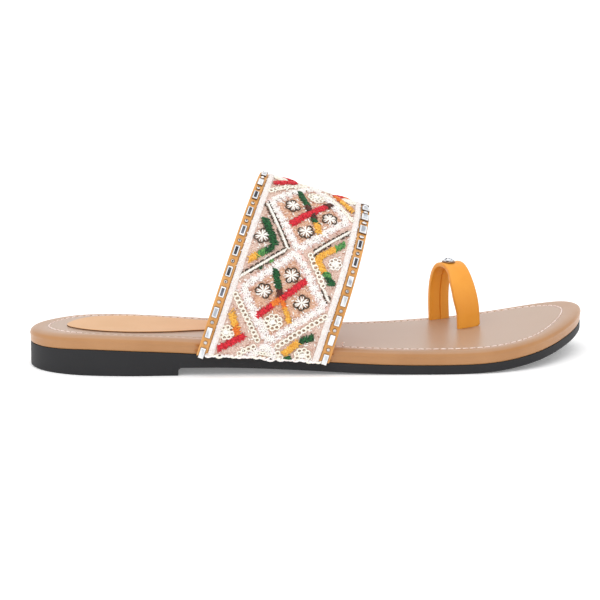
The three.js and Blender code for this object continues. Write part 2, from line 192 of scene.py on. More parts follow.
def two_tone(name, light, deep, spots, edges, relief=None, **surface):
    """A material of two shades in soft spots: spots sets their noise, and edges is where one
    shade ends and the other starts. relief is a finer noise's scale and detail, and the
    strength and depth of its bump."""
    material, tree, shader = new_material(name)
    place = add(tree, "TexCoord").outputs["Object"]
    clouds = add(tree, "TexNoise", Vector=place, **spots).outputs["Fac"]
    tint = mixed(tree, ramp(tree, clouds, *edges), light, deep)
    feed(tree, shader, Base_Color=tint, **surface)
    if relief:
        scale, detail, strength, depth = relief
        grain = add(tree, "TexNoise", Vector=place, Scale=scale, Detail=detail).outputs["Fac"]
        bump = add(tree, "Bump", Height=grain, Strength=strength, Distance=depth)
        feed(tree, shader, Normal=bump.outputs["Normal"])
    return material


rubber = two_tone("black_rubber", RUBBER_COLOUR, RUBBER_WORN,
                  {"Scale": 38, "Detail": 5, "Roughness": 0.6}, (0, 1),
                  relief=(2600, 3, 0.35, 0.00012), Roughness=0.58, Specular_IOR_Level=0.3)

outsole = merged_copy("outsole", "rubber_sole")
outsole.data.materials.append(rubber)
smooth(bevel_edges(outsole, SOLE_EDGE_BEVEL))
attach(outsole, "root")
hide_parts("outsole")

# Footbed
# A soft insole board wrapped in tan satin leather, rolled over its edge and sewn all round with
# one row of pale thread that pulls the leather into a shallow groove.

LENGTH = 250
BALL_WIDTH = 83
CLEARANCE = 0.3
HEEL_HEIGHT = 11.6
HEEL_BACK_DIP = 0.8
HEEL_BACK_DIP_END = 26
FOREFOOT_SOLE = 4.1
HEEL_FLAT_END = 18
BALL_FLAT_START = 170
SPRING_START = 185
TOE_SPRING = 9.5
FOOTBED_THICKNESS = 6.1
EDGE_ROLL = 3.2
EDGE_DROP = 1.7
EDGE_TUCK = 0.6
SEAM_INSET = 5.6
SEAM_DEPTH = 0.32
SEAM_HALF_WIDTH = 0.9
TRACE_STEPS = 40

# The outline from the back of the heel along the outer side to the toe and back along the inner
# side, as (share of LENGTH, share of BALL_WIDTH across).
OUTLINE = (
    (0, 0.03), (0.018, -0.131), (0.066, -0.258), (0.152, -0.331), (0.264, -0.355),
    (0.392, -0.382), (0.52, -0.424), (0.64, -0.475), (0.74, -0.5), (0.82, -0.482),
    (0.89, -0.383), (0.945, -0.217), (0.984, -0.025), (1, 0.169), (0.984, 0.345),
    (0.935, 0.46), (0.86, 0.5), (0.77, 0.472), (0.66, 0.398), (0.53, 0.329),
    (0.4, 0.295), (0.256, 0.317), (0.144, 0.337), (0.064, 0.287), (0.018, 0.187),
)


def ease(start, end, x):
    share = min(1, max(0, (x - start) / (end - start)))
    return share * share * (3 - 2 * share)


def toe_spring(x):
    return TOE_SPRING * max(0, (x - SPRING_START) / (LENGTH - SPRING_START)) ** 2


def sole_top(x):
    dip = HEEL_BACK_DIP * (1 - ease(0, HEEL_BACK_DIP_END, x))
    fall = (FOREFOOT_SOLE - HEEL_HEIGHT) * ease(HEEL_FLAT_END, BALL_FLAT_START, x)
    return HEEL_HEIGHT - dip + fall + toe_spring(x)


def footbed_bottom(x):
    return sole_top(x) + CLEARANCE


def seam_inset(x):
    """The seam runs further in round the heel and the toe than along the sides."""
    return SEAM_INSET + 2.4 * (1 - ease(0, 22, x)) + 2.6 * ease(222, 248, x)


def footbed_top(x):
    return footbed_bottom(x) + FOOTBED_THICKNESS


def traced(table, start, long, wide):
    """A closed centripetal curve through a table's points, as its outer and its inner side."""
    corners = [Vector((start + at * long, across * wide)) for at, across in table]
    trace = []
    for i in range(len(corners)):
        p0, p1, p2, p3 = (corners[(i + k) % len(corners)] for k in (-1, 0, 1, 2))
        t1, t2, t3 = (math.sqrt((b - a).length) for a, b in ((p0, p1), (p1, p2), (p2, p3)))
        m1 = ((p1 - p0) / t1 - (p2 - p0) / (t1 + t2) + (p2 - p1) / t2) * t2
        m2 = ((p2 - p1) / t2 - (p3 - p1) / (t2 + t3) + (p3 - p2) / t3) * t2
        for k in range(TRACE_STEPS):
            t = k / TRACE_STEPS
            trace.append(
                p1 * (2 * t**3 - 3 * t**2 + 1) + m1 * (t**3 - 2 * t**2 + t)
                + p2 * (3 * t**2 - 2 * t**3) + m2 * (t**3 - t**2)
            )
    tip = max(range(len(trace)), key=lambda k: trace[k].x)
    outer = np.array([tuple(p) for p in trace[: tip + 1]])
    inner = np.array([tuple(p) for p in (trace[tip:] + trace[:1])])[::-1]
    return outer, inner


def across_at(side, x):
    return float(np.interp(x, side[:, 0], side[:, 1]))


sole_outer, sole_inner = traced(OUTLINE, 0, LENGTH, BALL_WIDTH)


def outline_ring(sides, stations):
    """Points round an outline with the ways in from them: outer side, toe, inner side."""
    outer, inner = sides
    start, end = outer[0][0], outer[-1][0]
    points = []
    for i in range(2 * stations):
        x = start + (end - start) * (1 - math.cos(math.pi * i / stations)) / 2
        side = outer if i <= stations else inner
        points.append(Vector((x, across_at(side, x))))
    ways = []
    for i in range(len(points)):
        along = (points[(i + 1) % len(points)] - points[i - 1]).normalized()
        ways.append(Vector((-along.y, along.x)))
    return points, ways


def shaped_grid(columns, rows, law):
    """A grid of columns by rows faces whose corners go where law(column, row) puts them.
    Corners that meet are merged, so a law that closes on itself gives a closed skin."""
    bm = bmesh.new()
    bm.loops.layers.uv.new("share")
    bmesh.ops.create_grid(bm, x_segments=columns, y_segments=rows, size=0.5, calc_uvs=True)
    for vert in bm.verts:
        column = round((vert.co.x + 0.5) * columns)
        row = round((vert.co.y + 0.5) * rows)
        vert.co = law(column, row)
    bmesh.ops.remove_doubles(bm, verts=bm.verts, dist=0.001)
    bmesh.ops.recalc_face_normals(bm, faces=bm.faces)
    return bm


def ringed_solid(sides, stations, levels):
    """A closed body through rings of an outline, from the middle of its underside to the
    middle of its top. A level is (inset or law of it, share of the way to the middle line,
    height law)."""
    points, ways = outline_ring(sides, stations)
    count = 2 * stations

    def law(column, row):
        inset, inwards, height = levels[row]
        i = column % count
        if callable(inset):
            inset = inset(points[i].x)
        here = points[i] + ways[i] * inset
        j = (count - i) % count
        middle = (here + points[j] + ways[j] * inset) / 2
        place = here.lerp(middle, inwards)
        return Vector((place.x, place.y, height(place.x)))

    return shaped_grid(count, len(levels) - 1, law)


def to_piece(name, bm, material):
    """A mesh in millimetres from the back of the heel, as an object in the frame's metres."""
    bmesh.ops.translate(bm, verts=bm.verts, vec=(-LENGTH / 2, 0, 0))
    bmesh.ops.scale(bm, verts=bm.verts, vec=(MM, MM, MM))
    piece = made_of(name, bm)
    piece.data.materials.append(material)
    return piece


def applied(piece):
    """Takes what a piece's modifiers make as its own mesh."""
    view = bpy.context.evaluated_depsgraph_get()
    mesh = bpy.data.meshes.new_from_object(piece.evaluated_get(view))
    piece.modifiers.clear()
    piece.data = mesh
    return piece


def cut_by(piece, *tools):
    """Cuts the room for other pieces out of a piece, and removes the cutting copies."""
    for tool in tools:
        cut = piece.modifiers.new("room", "BOOLEAN")
        cut.object = tool
        cut.solver = "EXACT"
    applied(piece)
    for tool in tools:
        bpy.data.objects.remove(tool)
    return piece


def footbed_levels():
    def flat(x):
        return sole_top(x) + 0.03

    def rolled(drop):
        return lambda x: footbed_top(x) - drop

    def beside_seam(more):
        return lambda x: seam_inset(x) + more

    def side(share):
        return lambda x: footbed_bottom(x) + share * FOOTBED_THICKNESS

    levels = [(EDGE_TUCK, inwards, flat) for inwards in (1, 0.6, 0.25, 0)]
    levels += [(0.2, 0, lambda x: sole_top(x) + 0.25), (0, 0, side(0.1)), (-0.1, 0, side(0.36))]
    levels += [(-0.12, 0, side(0.5)), (-0.3, 0, side(0.57)), (-0.3, 0, side(0.62))]
    for i in range(9):
        turn = math.pi / 2 * i / 8
        inset = EDGE_ROLL * (1 - math.cos(turn))
        levels.append((inset, 0, rolled(EDGE_DROP * (1 - math.sin(turn)))))
    for i in range(9):
        share = i / 4 - 1
        sunk = SEAM_DEPTH * math.cos(share * math.pi / 2) ** 2
        levels.append((beside_seam(share * SEAM_HALF_WIDTH), 0, rolled(sunk)))
    for more in (2.4, 4.4):
        levels.append((beside_seam(more), 0, rolled(0)))
    for inwards in (0.12, 0.25, 0.4, 0.55, 0.7, 0.85, 1):
        levels.append((beside_seam(4.4), inwards, rolled(0)))
    return levels


TAN_COLOUR = (0.44, 0.215, 0.08, 1)
TAN_DEEP = (0.37, 0.165, 0.05, 1)
# Painted reflection: the paler, pinker colour given to the footbed's upward faces, most inside
# the seam, stands in for the white room shining on the satin top.
SKY_REFLECTION_COLOUR = (0.42, 0.28, 0.195, 1)
LEATHER_GRAIN = 1500
LEATHER_RELIEF = 0.0001


def leather(name, light, deep, roughness, sheen=0.0, coat=0.0, mottling=30, painted_reflection=None):
    """Dyed leather: slow mottling of two shades, a fine pebbled grain and uneven gloss. A painted
    reflection, where one is given, is the paler colour painted where the piece's own attribute
    for it is 1, standing in for the room's shine on faces that look up."""
    material, tree, shader = new_material(name)
    place = add(tree, "TexCoord").outputs["Object"]
    clouds = add(tree, "TexNoise", Vector=place, Scale=mottling, Detail=4,
                 Roughness=0.55).outputs["Fac"]
    colour = mixed(tree, ramp(tree, clouds, 0.35, 0.7), light, deep)
    if painted_reflection:
        reflection_mask = add(tree, "Attribute")
        reflection_mask.attribute_name = "sky_reflection_amount"
        colour = mixed(tree, reflection_mask.outputs["Fac"], colour, painted_reflection)
    pebbles = add(tree, "TexVoronoi", Vector=place, Scale=LEATHER_GRAIN)
    pebbles.feature = "SMOOTH_F1"
    relief = add(tree, "Bump", Height=pebbles.outputs["Distance"], Strength=0.22,
                 Distance=LEATHER_RELIEF)
    gloss = add(tree, "MapRange", Value=clouds, To_Min=roughness - 0.05,
                To_Max=roughness + 0.07)
    feed(tree, shader, Base_Color=colour, Roughness=gloss.outputs["Result"],
         Normal=relief.outputs["Normal"], Sheen_Weight=sheen, Coat_Weight=coat,
         Coat_Roughness=0.32)
    return material


tan_leather = leather(
    "tan_satin_leather", TAN_COLOUR, TAN_DEEP, 0.36, coat=0.25, painted_reflection=SKY_REFLECTION_COLOUR
)
footbed = to_piece(
    "footbed_leather",
    ringed_solid((sole_outer, sole_inner), 130, footbed_levels()),
    tan_leather,
)
cut_by(footbed, merged_copy("upper_band", "room_for_band"),
       merged_copy("toe_loop", "room_for_loop"))
# Painted reflection: its share grows as a face turns up, and is larger inside the seam than on
# the roll outside it.
reflection_mask = footbed.data.attributes.new("sky_reflection_amount", "FLOAT", "POINT")
rim = np.concatenate([sole_outer, sole_inner])
for vert in footbed.data.vertices:
    x = vert.co.x / MM + LENGTH / 2
    inset = np.hypot(rim[:, 0] - x, rim[:, 1] - vert.co.y / MM).min()
    within = ease(seam_inset(x) - 1.4, seam_inset(x) + 0.8, inset)
    reflection_mask.data[vert.index].value = ease(0.3, 0.97, vert.normal.z) * (0.42 + 0.58 * within)
smooth(footbed, math.radians(50))
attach(footbed, "root")
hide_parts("footbed")

# Footbed stitching
# One lockstitch row of pale pink-white thread in the groove round the whole footbed. Each stitch
# dips into its needle hole at both ends. The row lies buried along the outer side of the heel,
# and one short thread end stands up in front of the band.

STITCH_LENGTH = 2.5
STITCH_GAP = 0.75
STITCH_RADIUS = 0.32
STITCH_SINK = 0.26
STITCH_DIP = ((0, STITCH_SINK), (0.12, 0.02), (0.5, -0.05), (0.88, 0.02), (1, STITCH_SINK))
BURIED_FROM = 20
BURIED_TO = 80
BURIED_BY = 0.3
THREAD_TIP = 0.6
THREAD_END_AT = 136
THREAD_END = ((0, 0, 0), (-0.5, -0.3, 0.7), (-0.7, 0.1, 1.5), (0.2, -0.4, 2.0))
THREAD_COLOUR = (0.90, 0.77, 0.72, 1)
THREAD_SHADE = (0.70, 0.54, 0.48, 1)


def threads(name, routes, radius, material, sides):
    """Threads of one colour as one mesh: each route is a list of points in millimetres, with
    thinner ends, and a route that is a ring is (points, True)."""
    curve = bpy.data.curves.new(name, "CURVE")
    curve.dimensions = "3D"
    curve.bevel_depth = radius * MM
    curve.bevel_resolution = sides
    curve.use_fill_caps = True
    for route in routes:
        points, closed = route if isinstance(route, tuple) else (route, False)
        spline = curve.splines.new("POLY")
        spline.points.add(len(points) - 1)
        flat = []
        for p in points:
            flat += [(p[0] - LENGTH / 2) * MM, p[1] * MM, p[2] * MM, 1]
        spline.points.foreach_set("co", flat)
        spline.use_cyclic_u = closed
        if not closed:
            spline.points[0].radius = THREAD_TIP
            spline.points[-1].radius = THREAD_TIP
    drawn = placed(name + "_curve", curve)
    view = bpy.context.evaluated_depsgraph_get()
    mesh = bpy.data.meshes.new_from_object(drawn.evaluated_get(view))
    bpy.data.objects.remove(drawn)
    mesh.name = name
    mesh.materials.clear()
    mesh.materials.append(material)
    for face in mesh.polygons:
        face.use_smooth = True
    return placed(name, mesh)


def thread_paint(name, light, deep, roughness=0.55, scale=620):
    """Twisted thread: two shades that change every stitch or so, and a soft sheen."""
    return two_tone(name, light, deep, {"Scale": scale, "Detail": 2}, (0.38, 0.64),
                    relief=(5200, 2, 0.5, 0.00008), Roughness=roughness, Sheen_Weight=0.08,
                    Specular_IOR_Level=0.3)


def seam_points(step):
    """Even steps along the footbed's seam, as pairs of points."""
    points, ways = outline_ring((sole_outer, sole_inner), 260)
    loop = [p + w * seam_inset(p.x) for p, w in zip(points, ways)]
    loop.append(loop[0])
    reach = [0]
    for a, b in zip(loop, loop[1:]):
        reach.append(reach[-1] + (b - a).length)
    count = round(reach[-1] / step)
    xs, ys = [p.x for p in loop], [p.y for p in loop]
    places = [reach[-1] * k / count for k in range(count + 1)]
    even = [Vector((np.interp(d, reach, xs), np.interp(d, reach, ys))) for d in places]
    return list(zip(even, even[1:]))


def footbed_stitches():
    routes = []
    share = STITCH_LENGTH / (STITCH_LENGTH + STITCH_GAP)
    ground = SEAM_DEPTH - STITCH_RADIUS * 0.55
    for start, end in seam_points(STITCH_LENGTH + STITCH_GAP):
        buried = BURIED_BY if start.y < 0 and BURIED_FROM < start.x < BURIED_TO else 0
        route = []
        for t, sink in STITCH_DIP:
            p = start.lerp(end, t * share)
            route.append((p.x, p.y, footbed_top(p.x) - ground - sink - buried))
        routes.append(route)
    near = [p for p, _ in seam_points(1) if p.y < 0]
    foot = min(near, key=lambda p: abs(p.x - THREAD_END_AT))
    routes.append([(foot.x + a, foot.y + b, footbed_top(foot.x) + c) for a, b, c in THREAD_END])
    return routes


stitches = threads("footbed_stitches", footbed_stitches(), STITCH_RADIUS,
                   thread_paint("pale_thread", THREAD_COLOUR, THREAD_SHADE), 2)
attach(stitches, "root")

# Heel pad
# A spoon of thin peach foam-backed leather, glued flat on the footbed from the heel to under
# the band. Its cut edge is thin and painted dark brown as painted shade for the shadow line along
# the pad's foot, and its face is as flat as the footbed.

PAD_BACK = 16
PAD_FRONT = 116
PAD_WIDTH = 38.5
PAD_THICKNESS = 0.65
PAD_LIE = 0.05
PAD_OUTLINE = (
    (0, 0), (0.035, -0.21), (0.12, -0.39), (0.26, -0.47), (0.42, -0.41), (0.62, -0.2),
    (0.82, -0.09), (0.97, -0.055), (1, 0.067), (0.97, 0.2), (0.82, 0.27), (0.62, 0.36),
    (0.42, 0.46), (0.26, 0.485), (0.12, 0.405), (0.035, 0.21),
)
PEACH_COLOUR = (0.68, 0.38, 0.175, 1)
PEACH_DEEP = (0.62, 0.34, 0.145, 1)
# Painted shade: the dark brown of the pad's cut edge stands for the thin shadow line along it.
PAD_EDGE_SHADE_COLOUR = (0.16, 0.06, 0.022, 1)
PAD_EDGE_SHADE_DEEP = (0.05, 0.018, 0.008, 1)
pad_sides = traced(PAD_OUTLINE, PAD_BACK, PAD_FRONT - PAD_BACK, PAD_WIDTH)


def pad_levels():
    def above(rise):
        return lambda x: footbed_top(x) + PAD_LIE + rise

    levels = [(0.15, inwards, above(0)) for inwards in (1, 0.5, 0)]
    levels += [(0.02, 0, above(0.1)), (0, 0, above(0.7 * PAD_THICKNESS))]
    levels += [(0.1, 0, above(0.93 * PAD_THICKNESS)), (0.3, 0, above(PAD_THICKNESS))]
    levels += [(0.3, inwards, above(PAD_THICKNESS)) for inwards in (0.1, 0.3, 0.55, 0.8, 1)]
    return levels


pad = to_piece("heel_pad_leather", ringed_solid(pad_sides, 90, pad_levels()),
               leather("peach_leather", PEACH_COLOUR, PEACH_DEEP, 0.55, sheen=0.15))
pad_edge_shade_paint = leather("cut_edge_painted_shade", PAD_EDGE_SHADE_COLOUR, PAD_EDGE_SHADE_DEEP, 0.8, mottling=260)
pad.data.materials.append(pad_edge_shade_paint)
smooth(pad, math.radians(40))
# The steep side faces take the painted shade.
for face in pad.data.polygons:
    if abs(face.normal.z) < 0.5:
        face.material_index = 1
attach(pad, "root")
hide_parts("heel_pad")

# Instep band
# The strap itself: one wide piece of mustard leather with its lining, lasted round the edge of
# the sole and glued in under the footbed. Only its cut edges and its lining are seen.

MUSTARD = (0.86, 0.385, 0.042, 1)
MUSTARD_DEEP = (0.78, 0.30, 0.02, 1)

mustard_leather = leather("mustard_leather", MUSTARD, MUSTARD_DEEP, 0.45)
band = merged_copy("upper_band", "instep_band")
band.data.materials.append(mustard_leather)
smooth(bevel_edges(band, 0.25), math.radians(40))
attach(band, "root")
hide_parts("upper_band")

# Embroidered ribbon
# A strip of pinkish-beige net ground over the band, sewn down under a cream tape along each
# edge. The ground is puckered a little by the dense stitching.

BAND_REAR = {"at": 73.8, "crown": 81.6, "lean": 18.5, "turn": 11.3}
BAND_FRONT = {"at": 129.2, "crown": 64.8, "lean": 18, "turn": 4.6}
BAND_WALL = 1.6
BAND_ARCH_TOP = 40
BAND_CROWN_ACROSS = 3
LAYER_OVERHANG = 0.4
RIBBON_WALL = 1.0
TRIM_WIDTH = 4.2
BAND_RUN = BAND_FRONT["at"] - BAND_REAR["at"]
TRIM_SHARE = TRIM_WIDTH / BAND_RUN
RIBBON_START = TRIM_SHARE + CLEARANCE / BAND_RUN
FACE_LIFT = BAND_WALL + CLEARANCE + RIBBON_WALL
MAP_ROWS = 41
STRIP_STEP = 1.1
STRIP_SMOOTH = math.radians(60)
FIELD_COLOUR = (0.84, 0.56, 0.40, 1)
FIELD_DEEP = (0.52, 0.25, 0.14, 1)
SIDE_COLOUR = (0.82, 0.64, 0.55, 1)
SIDE_DEEP = (0.54, 0.34, 0.27, 1)
BORDER_COLOUR = (0.90, 0.66, 0.60, 1)
BORDER_SHARE = 0.965


def band_line(v):
    """The band's face in one of its leaning planes, from the outer joint over the crown to the
    inner joint: places and ways out, in the plane's own across and up, with the plane."""
    plane = {key: BAND_REAR[key] + (BAND_FRONT[key] - BAND_REAR[key]) * v for key in BAND_REAR}
    lean = math.radians(plane["lean"])
    skew = math.tan(math.radians(plane["turn"]))
    leg = plane["crown"] / math.cos(lean) - BAND_ARCH_TOP
    halves = []
    for side, way in ((sole_outer, -1), (sole_inner, 1)):
        x = plane["at"]
        for _ in range(4):
            x = plane["at"] + sole_top(x) * math.tan(lean) + across_at(side, x) * skew
        foot = across_at(side, x) + way * CLEARANCE
        joint = footbed_bottom(x) / math.cos(lean) - LAYER_OVERHANG
        reach = way * (foot - BAND_CROWN_ACROSS)
        half = [(foot, joint + (leg - joint) * k / 24, way, 0) for k in range(24)]
        for k in range(61):
            turn = math.pi / 2 * k / 60
            out = Vector((math.cos(turn) / reach, math.sin(turn) / BAND_ARCH_TOP)).normalized()
            half.append((
                BAND_CROWN_ACROSS + way * reach * math.cos(turn),
                leg + BAND_ARCH_TOP * math.sin(turn),
                way * out.x,
                out.y,
            ))
        halves.append(half)
    line = np.array(halves[0] + halves[1][::-1][1:])
    return line, plane["at"], lean, skew


def in_space(across, up, at, lean, skew):
    return np.stack(
        [at + up * math.sin(lean) + across * skew, across, up * math.cos(lean)], axis=-1
    )


def band_map():
    """The band's face as places and ways out at even distances from the outer joint."""
    rows = []
    for k in range(MAP_ROWS):
        line, at, lean, skew = band_line(k / (MAP_ROWS - 1))
        face = in_space(line[:, 0] + line[:, 2] * FACE_LIFT, line[:, 1] + line[:, 3] * FACE_LIFT,
                        at, lean, skew)
        ways = in_space(line[:, 2], line[:, 3], 0, lean, skew)
        steps = np.linalg.norm(np.diff(face, axis=0), axis=1)
        reach = np.concatenate([[0], np.cumsum(steps)])
        rows.append((reach, np.concatenate([face, ways], axis=1)))
    return rows


band_rows = band_map()


def band_length(v):
    k = v * (MAP_ROWS - 1)
    low = min(MAP_ROWS - 2, max(0, int(k)))
    share = k - low
    return band_rows[low][0][-1] * (1 - share) + band_rows[low + 1][0][-1] * share


def on_band(v, s, lift=0.0):
    """The point v of the way from the band's rear edge to its front one and s millimetres up
    from the outer joint, lifted off the ribbon's face."""
    k = v * (MAP_ROWS - 1)
    low = min(MAP_ROWS - 2, max(0, int(k)))
    found = []
    for reach, values in (band_rows[low], band_rows[low + 1]):
        if s < 0:
            place = values[0] + (values[1] - values[0]) * s / reach[1]
        elif s > reach[-1]:
            last_step = reach[-1] - reach[-2]
            place = values[-1] + (values[-1] - values[-2]) * (s - reach[-1]) / last_step
        else:
            j = min(len(reach) - 2, int(np.searchsorted(reach, s, side="right")) - 1)
            share = (s - reach[j]) / (reach[j + 1] - reach[j])
            place = values[j] * (1 - share) + values[j + 1] * share
        found.append(place)
    share = k - low
    between = found[0] * (1 - share) + found[1] * share
    return Vector(between[:3]) + Vector(between[3:]).normalized() * lift


def band_strip(v_start, v_end, columns, rise, wall, hang):
    """A strip of cloth or leather over the band, from v_start to v_end: rise(share, s) lifts
    its face, and the wall goes down from there."""
    rows = round(band_length(0.5) / STRIP_STEP)

    def law(column, row):
        share = column / columns
        v = v_start + (v_end - v_start) * share
        long = band_length(v) + 2 * hang
        s = -hang + long * row / rows
        return on_band(v, s, rise(share, s))

    bm = shaped_grid(columns, rows, law)
    crown = max(bm.faces, key=lambda f: f.calc_center_median().z)
    if crown.normal.z < 0:
        bmesh.ops.reverse_faces(bm, faces=bm.faces)
    bmesh.ops.solidify(bm, geom=bm.faces[:], thickness=wall)
    bmesh.ops.recalc_face_normals(bm, faces=bm.faces)
    return bm


def pucker(share, s):
    ends = math.sin(math.pi * share)
    return -0.12 + 0.09 * ends * (math.sin(s * 1.7 + 5 * share) + math.sin(s * 0.9 - 9 * share))


PATTERN_PITCH = 42.5
FIRST_CROSSING = 7.8
PATTERN_SHEAR = 0.2
PATTERN_WIDTH = 52.0
DIAMOND_HALF_WIDTH = 17.5
DIAMOND_HALF_LENGTH = PATTERN_PITCH / 2
RIBBON_HANG = -1.15


def chain_of(tree, source, *steps):
    """Math nodes in a row, each given as its operation and its second value or socket."""
    for operation, value in steps:
        node = tree.nodes.new("ShaderNodeMath")
        node.operation = operation
        tree.links.new(source, node.inputs[0])
        if isinstance(value, bpy.types.NodeSocket):
            tree.links.new(value, node.inputs[1])
        elif value is not None:
            node.inputs[1].default_value = value
        source = node.outputs[0]
    return source


def pattern_place(tree):
    """Sockets for the place across and along the ribbon in millimetres, from its UV map."""
    flat = add(tree, "SeparateXYZ", Vector=add(tree, "TexCoord").outputs["UV"]).outputs
    wide = PATTERN_WIDTH * (1 - 2 * RIBBON_START)
    across = chain_of(tree, flat[0], ("SUBTRACT", 0.5), ("MULTIPLY", wide))
    rear, front = (band_length(v) + 2 * RIBBON_HANG for v in (RIBBON_START, 1 - RIBBON_START))
    long = chain_of(tree, flat[0], ("MULTIPLY", front - rear), ("ADD", rear))
    up = chain_of(tree, flat[1], ("MULTIPLY", long), ("SUBTRACT", RIBBON_HANG))
    return across, chain_of(tree, across, ("MULTIPLY", PATTERN_SHEAR), ("ADD", up))


def in_diamond(tree, across, along):
    """0 in the middle of a diamond of the lattice, 1 on its sides, more outside it."""
    folded = chain_of(
        tree, along, ("SUBTRACT", FIRST_CROSSING - 4 * PATTERN_PITCH),
        ("DIVIDE", PATTERN_PITCH), ("FRACT", None), ("SUBTRACT", 0.5), ("ABSOLUTE", None),
        ("MULTIPLY", PATTERN_PITCH / DIAMOND_HALF_LENGTH),
    )
    return chain_of(
        tree, across, ("ABSOLUTE", None), ("DIVIDE", DIAMOND_HALF_WIDTH), ("ADD", folded)
    )


net_ground, tree, shader = new_material("net_ground")
across, along = pattern_place(tree)
depth = in_diamond(tree, across, along)
place = add(tree, "CombineXYZ", X=across, Y=along).outputs[0]
specks = add(tree, "TexNoise", Vector=place, Scale=1.4, Detail=3, Roughness=0.7).outputs["Fac"]
speckled = ramp(tree, specks, 0.36, 0.66)
field = mixed(tree, speckled, FIELD_COLOUR, FIELD_DEEP)
side = mixed(tree, speckled, SIDE_COLOUR, SIDE_DEEP)
both = mixed(tree, ramp(tree, depth, 0.80, 0.87), field, side)
off_border = chain_of(tree, depth, ("SUBTRACT", BORDER_SHARE), ("ABSOLUTE", None))
whitened = mixed(tree, ramp(tree, off_border, 0.17, 0.11), both, BORDER_COLOUR)
net_holes = add(tree, "TexVoronoi", Vector=place, Scale=1.5).outputs["Distance"]
relief = add(tree, "Bump", Height=net_holes, Strength=0.9, Distance=0.0004)
feed(tree, shader, Base_Color=whitened, Normal=relief.outputs["Normal"], Roughness=0.85)

ribbon = to_piece(
    "embroidery_ground",
    band_strip(RIBBON_START, 1 - RIBBON_START, 36, pucker, 0.8, hang=RIBBON_HANG),
    net_ground,
)
smooth(ribbon, STRIP_SMOOTH)
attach(ribbon, "root")
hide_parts("embroidered_ribbon")

# Cream tapes
# A soft cream-white tape of looped thread along each edge of the ribbon, under three
# millimetres wide, sewn down over the edge of the net ground, close beside the trim.

TAPE_WIDTH = 2.7
TAPE_RISE = 0.5
TAPE_HANG = -0.9
TAPE_SHARE = TAPE_WIDTH / BAND_RUN
CREAM = (0.91, 0.865, 0.835, 1)
CREAM_SHADE = (0.81, 0.735, 0.70, 1)
cream_thread = thread_paint("cream_thread", CREAM, CREAM_SHADE, 0.7)


def tape_rise(share, s):
    return 0.05 + TAPE_RISE * math.sin(math.pi * share) ** 0.6 + 0.05 * math.sin(s * 3.1)


for name, start in (("rear_tape", RIBBON_START), ("front_tape", 1 - RIBBON_START - TAPE_SHARE)):
    strip = band_strip(start, start + TAPE_SHARE, 8, tape_rise, 0.3, TAPE_HANG)
    tape = to_piece(name, strip, cream_thread)
    smooth(tape, STRIP_SMOOTH)
    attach(tape, "root")

# The ribbon as it was cut, flat: a strip a little longer along its rear edge than its front one.
cut_lengths = [
    (band_length(v) + 2 * RIBBON_HANG) * MM for v in (RIBBON_START, 0.5, 1 - RIBBON_START)
]

# Edge trims
# A narrow strip of mustard leather along each edge of the band, with its edges turned down.
# It is glued to the band beside the cream tape, and carries the mirror stones.

TRIM_COLOUR = (0.70, 0.345, 0.10, 1)
TRIM_DEEP = (0.56, 0.24, 0.045, 1)
TRIM_HANG = -0.45
trim_leather = leather("trim_leather", TRIM_COLOUR, TRIM_DEEP, 0.45)


def trim_rise(share, s):
    edge = min(share, 1 - share)
    return -0.22 * (1 - min(1, edge / 0.16)) ** 2


for name, start, node in (("rear_trim", 0, "rear_stone_trim"),
                          ("front_trim", 1 - TRIM_SHARE, "front_stone_trim")):
    strip = band_strip(start, start + TRIM_SHARE, 10, trim_rise, 0.75, TRIM_HANG)
    trim = to_piece(name, strip, trim_leather)
    smooth(trim, STRIP_SMOOTH)
    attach(trim, "root")
    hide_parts(node)

# Embroidery
# White, ivory, brown, green, red and yellow threads worked on the net: a lattice of diamonds,
# each with a cross of bars between four flowers, and a chevron with a flower in each side field.

FIELD_HALF_WIDTH = 19.2
BORDER_WIDTH = 3.4
BORDER_LOOPS = 2.4
STAR_STEP = 3.9
NET_STITCHES = 3600
TAPE_LOOPS = 1500
PETALS = 6
FLOWER_RADIUS = 3.4
THREADS = {
    "border": (0.35, (0.96, 0.93, 0.92, 1), (0.89, 0.78, 0.745, 1), 0.7),
    "tape": (0.24, (0.93, 0.89, 0.865, 1), (0.85, 0.77, 0.735, 1), 0.75),
    "white": (0.31, (0.96, 0.95, 0.91, 1), (0.90, 0.86, 0.80, 1), 0.6),
    "cord": (0.36, (0.96, 0.95, 0.89, 1), (0.78, 0.74, 0.66, 1), 0.6),
    "pink": (0.24, (0.92, 0.76, 0.68, 1), (0.70, 0.42, 0.32, 1), 0.75),
    "rust": (0.17, (0.60, 0.30, 0.21, 1), (0.42, 0.18, 0.12, 1), 0.8),
    "ivory": (0.38, (0.96, 0.94, 0.85, 1), (0.86, 0.82, 0.69, 1), 0.55),
    # A dark stroke inside each ring: painted shade for the net's hole in shadow, not a thread of
    # the work.
    "hole_shade": (0.26, (0.52, 0.38, 0.26, 1), (0.34, 0.23, 0.15, 1), 0.85),
    "brown": (0.31, (0.085, 0.052, 0.028, 1), (0.03, 0.018, 0.009, 1), 0.5),
    "green": (0.24, (0.018, 0.14, 0.038, 1), (0.004, 0.034, 0.012, 1), 0.5),
    "lime": (0.24, (0.16, 0.42, 0.11, 1), (0.02, 0.14, 0.04, 1), 0.5),
    "red": (0.25, (0.80, 0.03, 0.05, 1), (0.46, 0.006, 0.018, 1), 0.5),
    "maroon": (0.24, (0.13, 0.03, 0.02, 1), (0.04, 0.02, 0.01, 1), 0.5),
    "yellow": (0.25, (0.92, 0.56, 0.10, 1), (0.74, 0.31, 0.03, 1), 0.5),
    "orange": (0.25, (0.85, 0.24, 0.03, 1), (0.70, 0.15, 0.02, 1), 0.5),
}

rng = random.Random(7)
routes = {colour: [] for colour in THREADS}


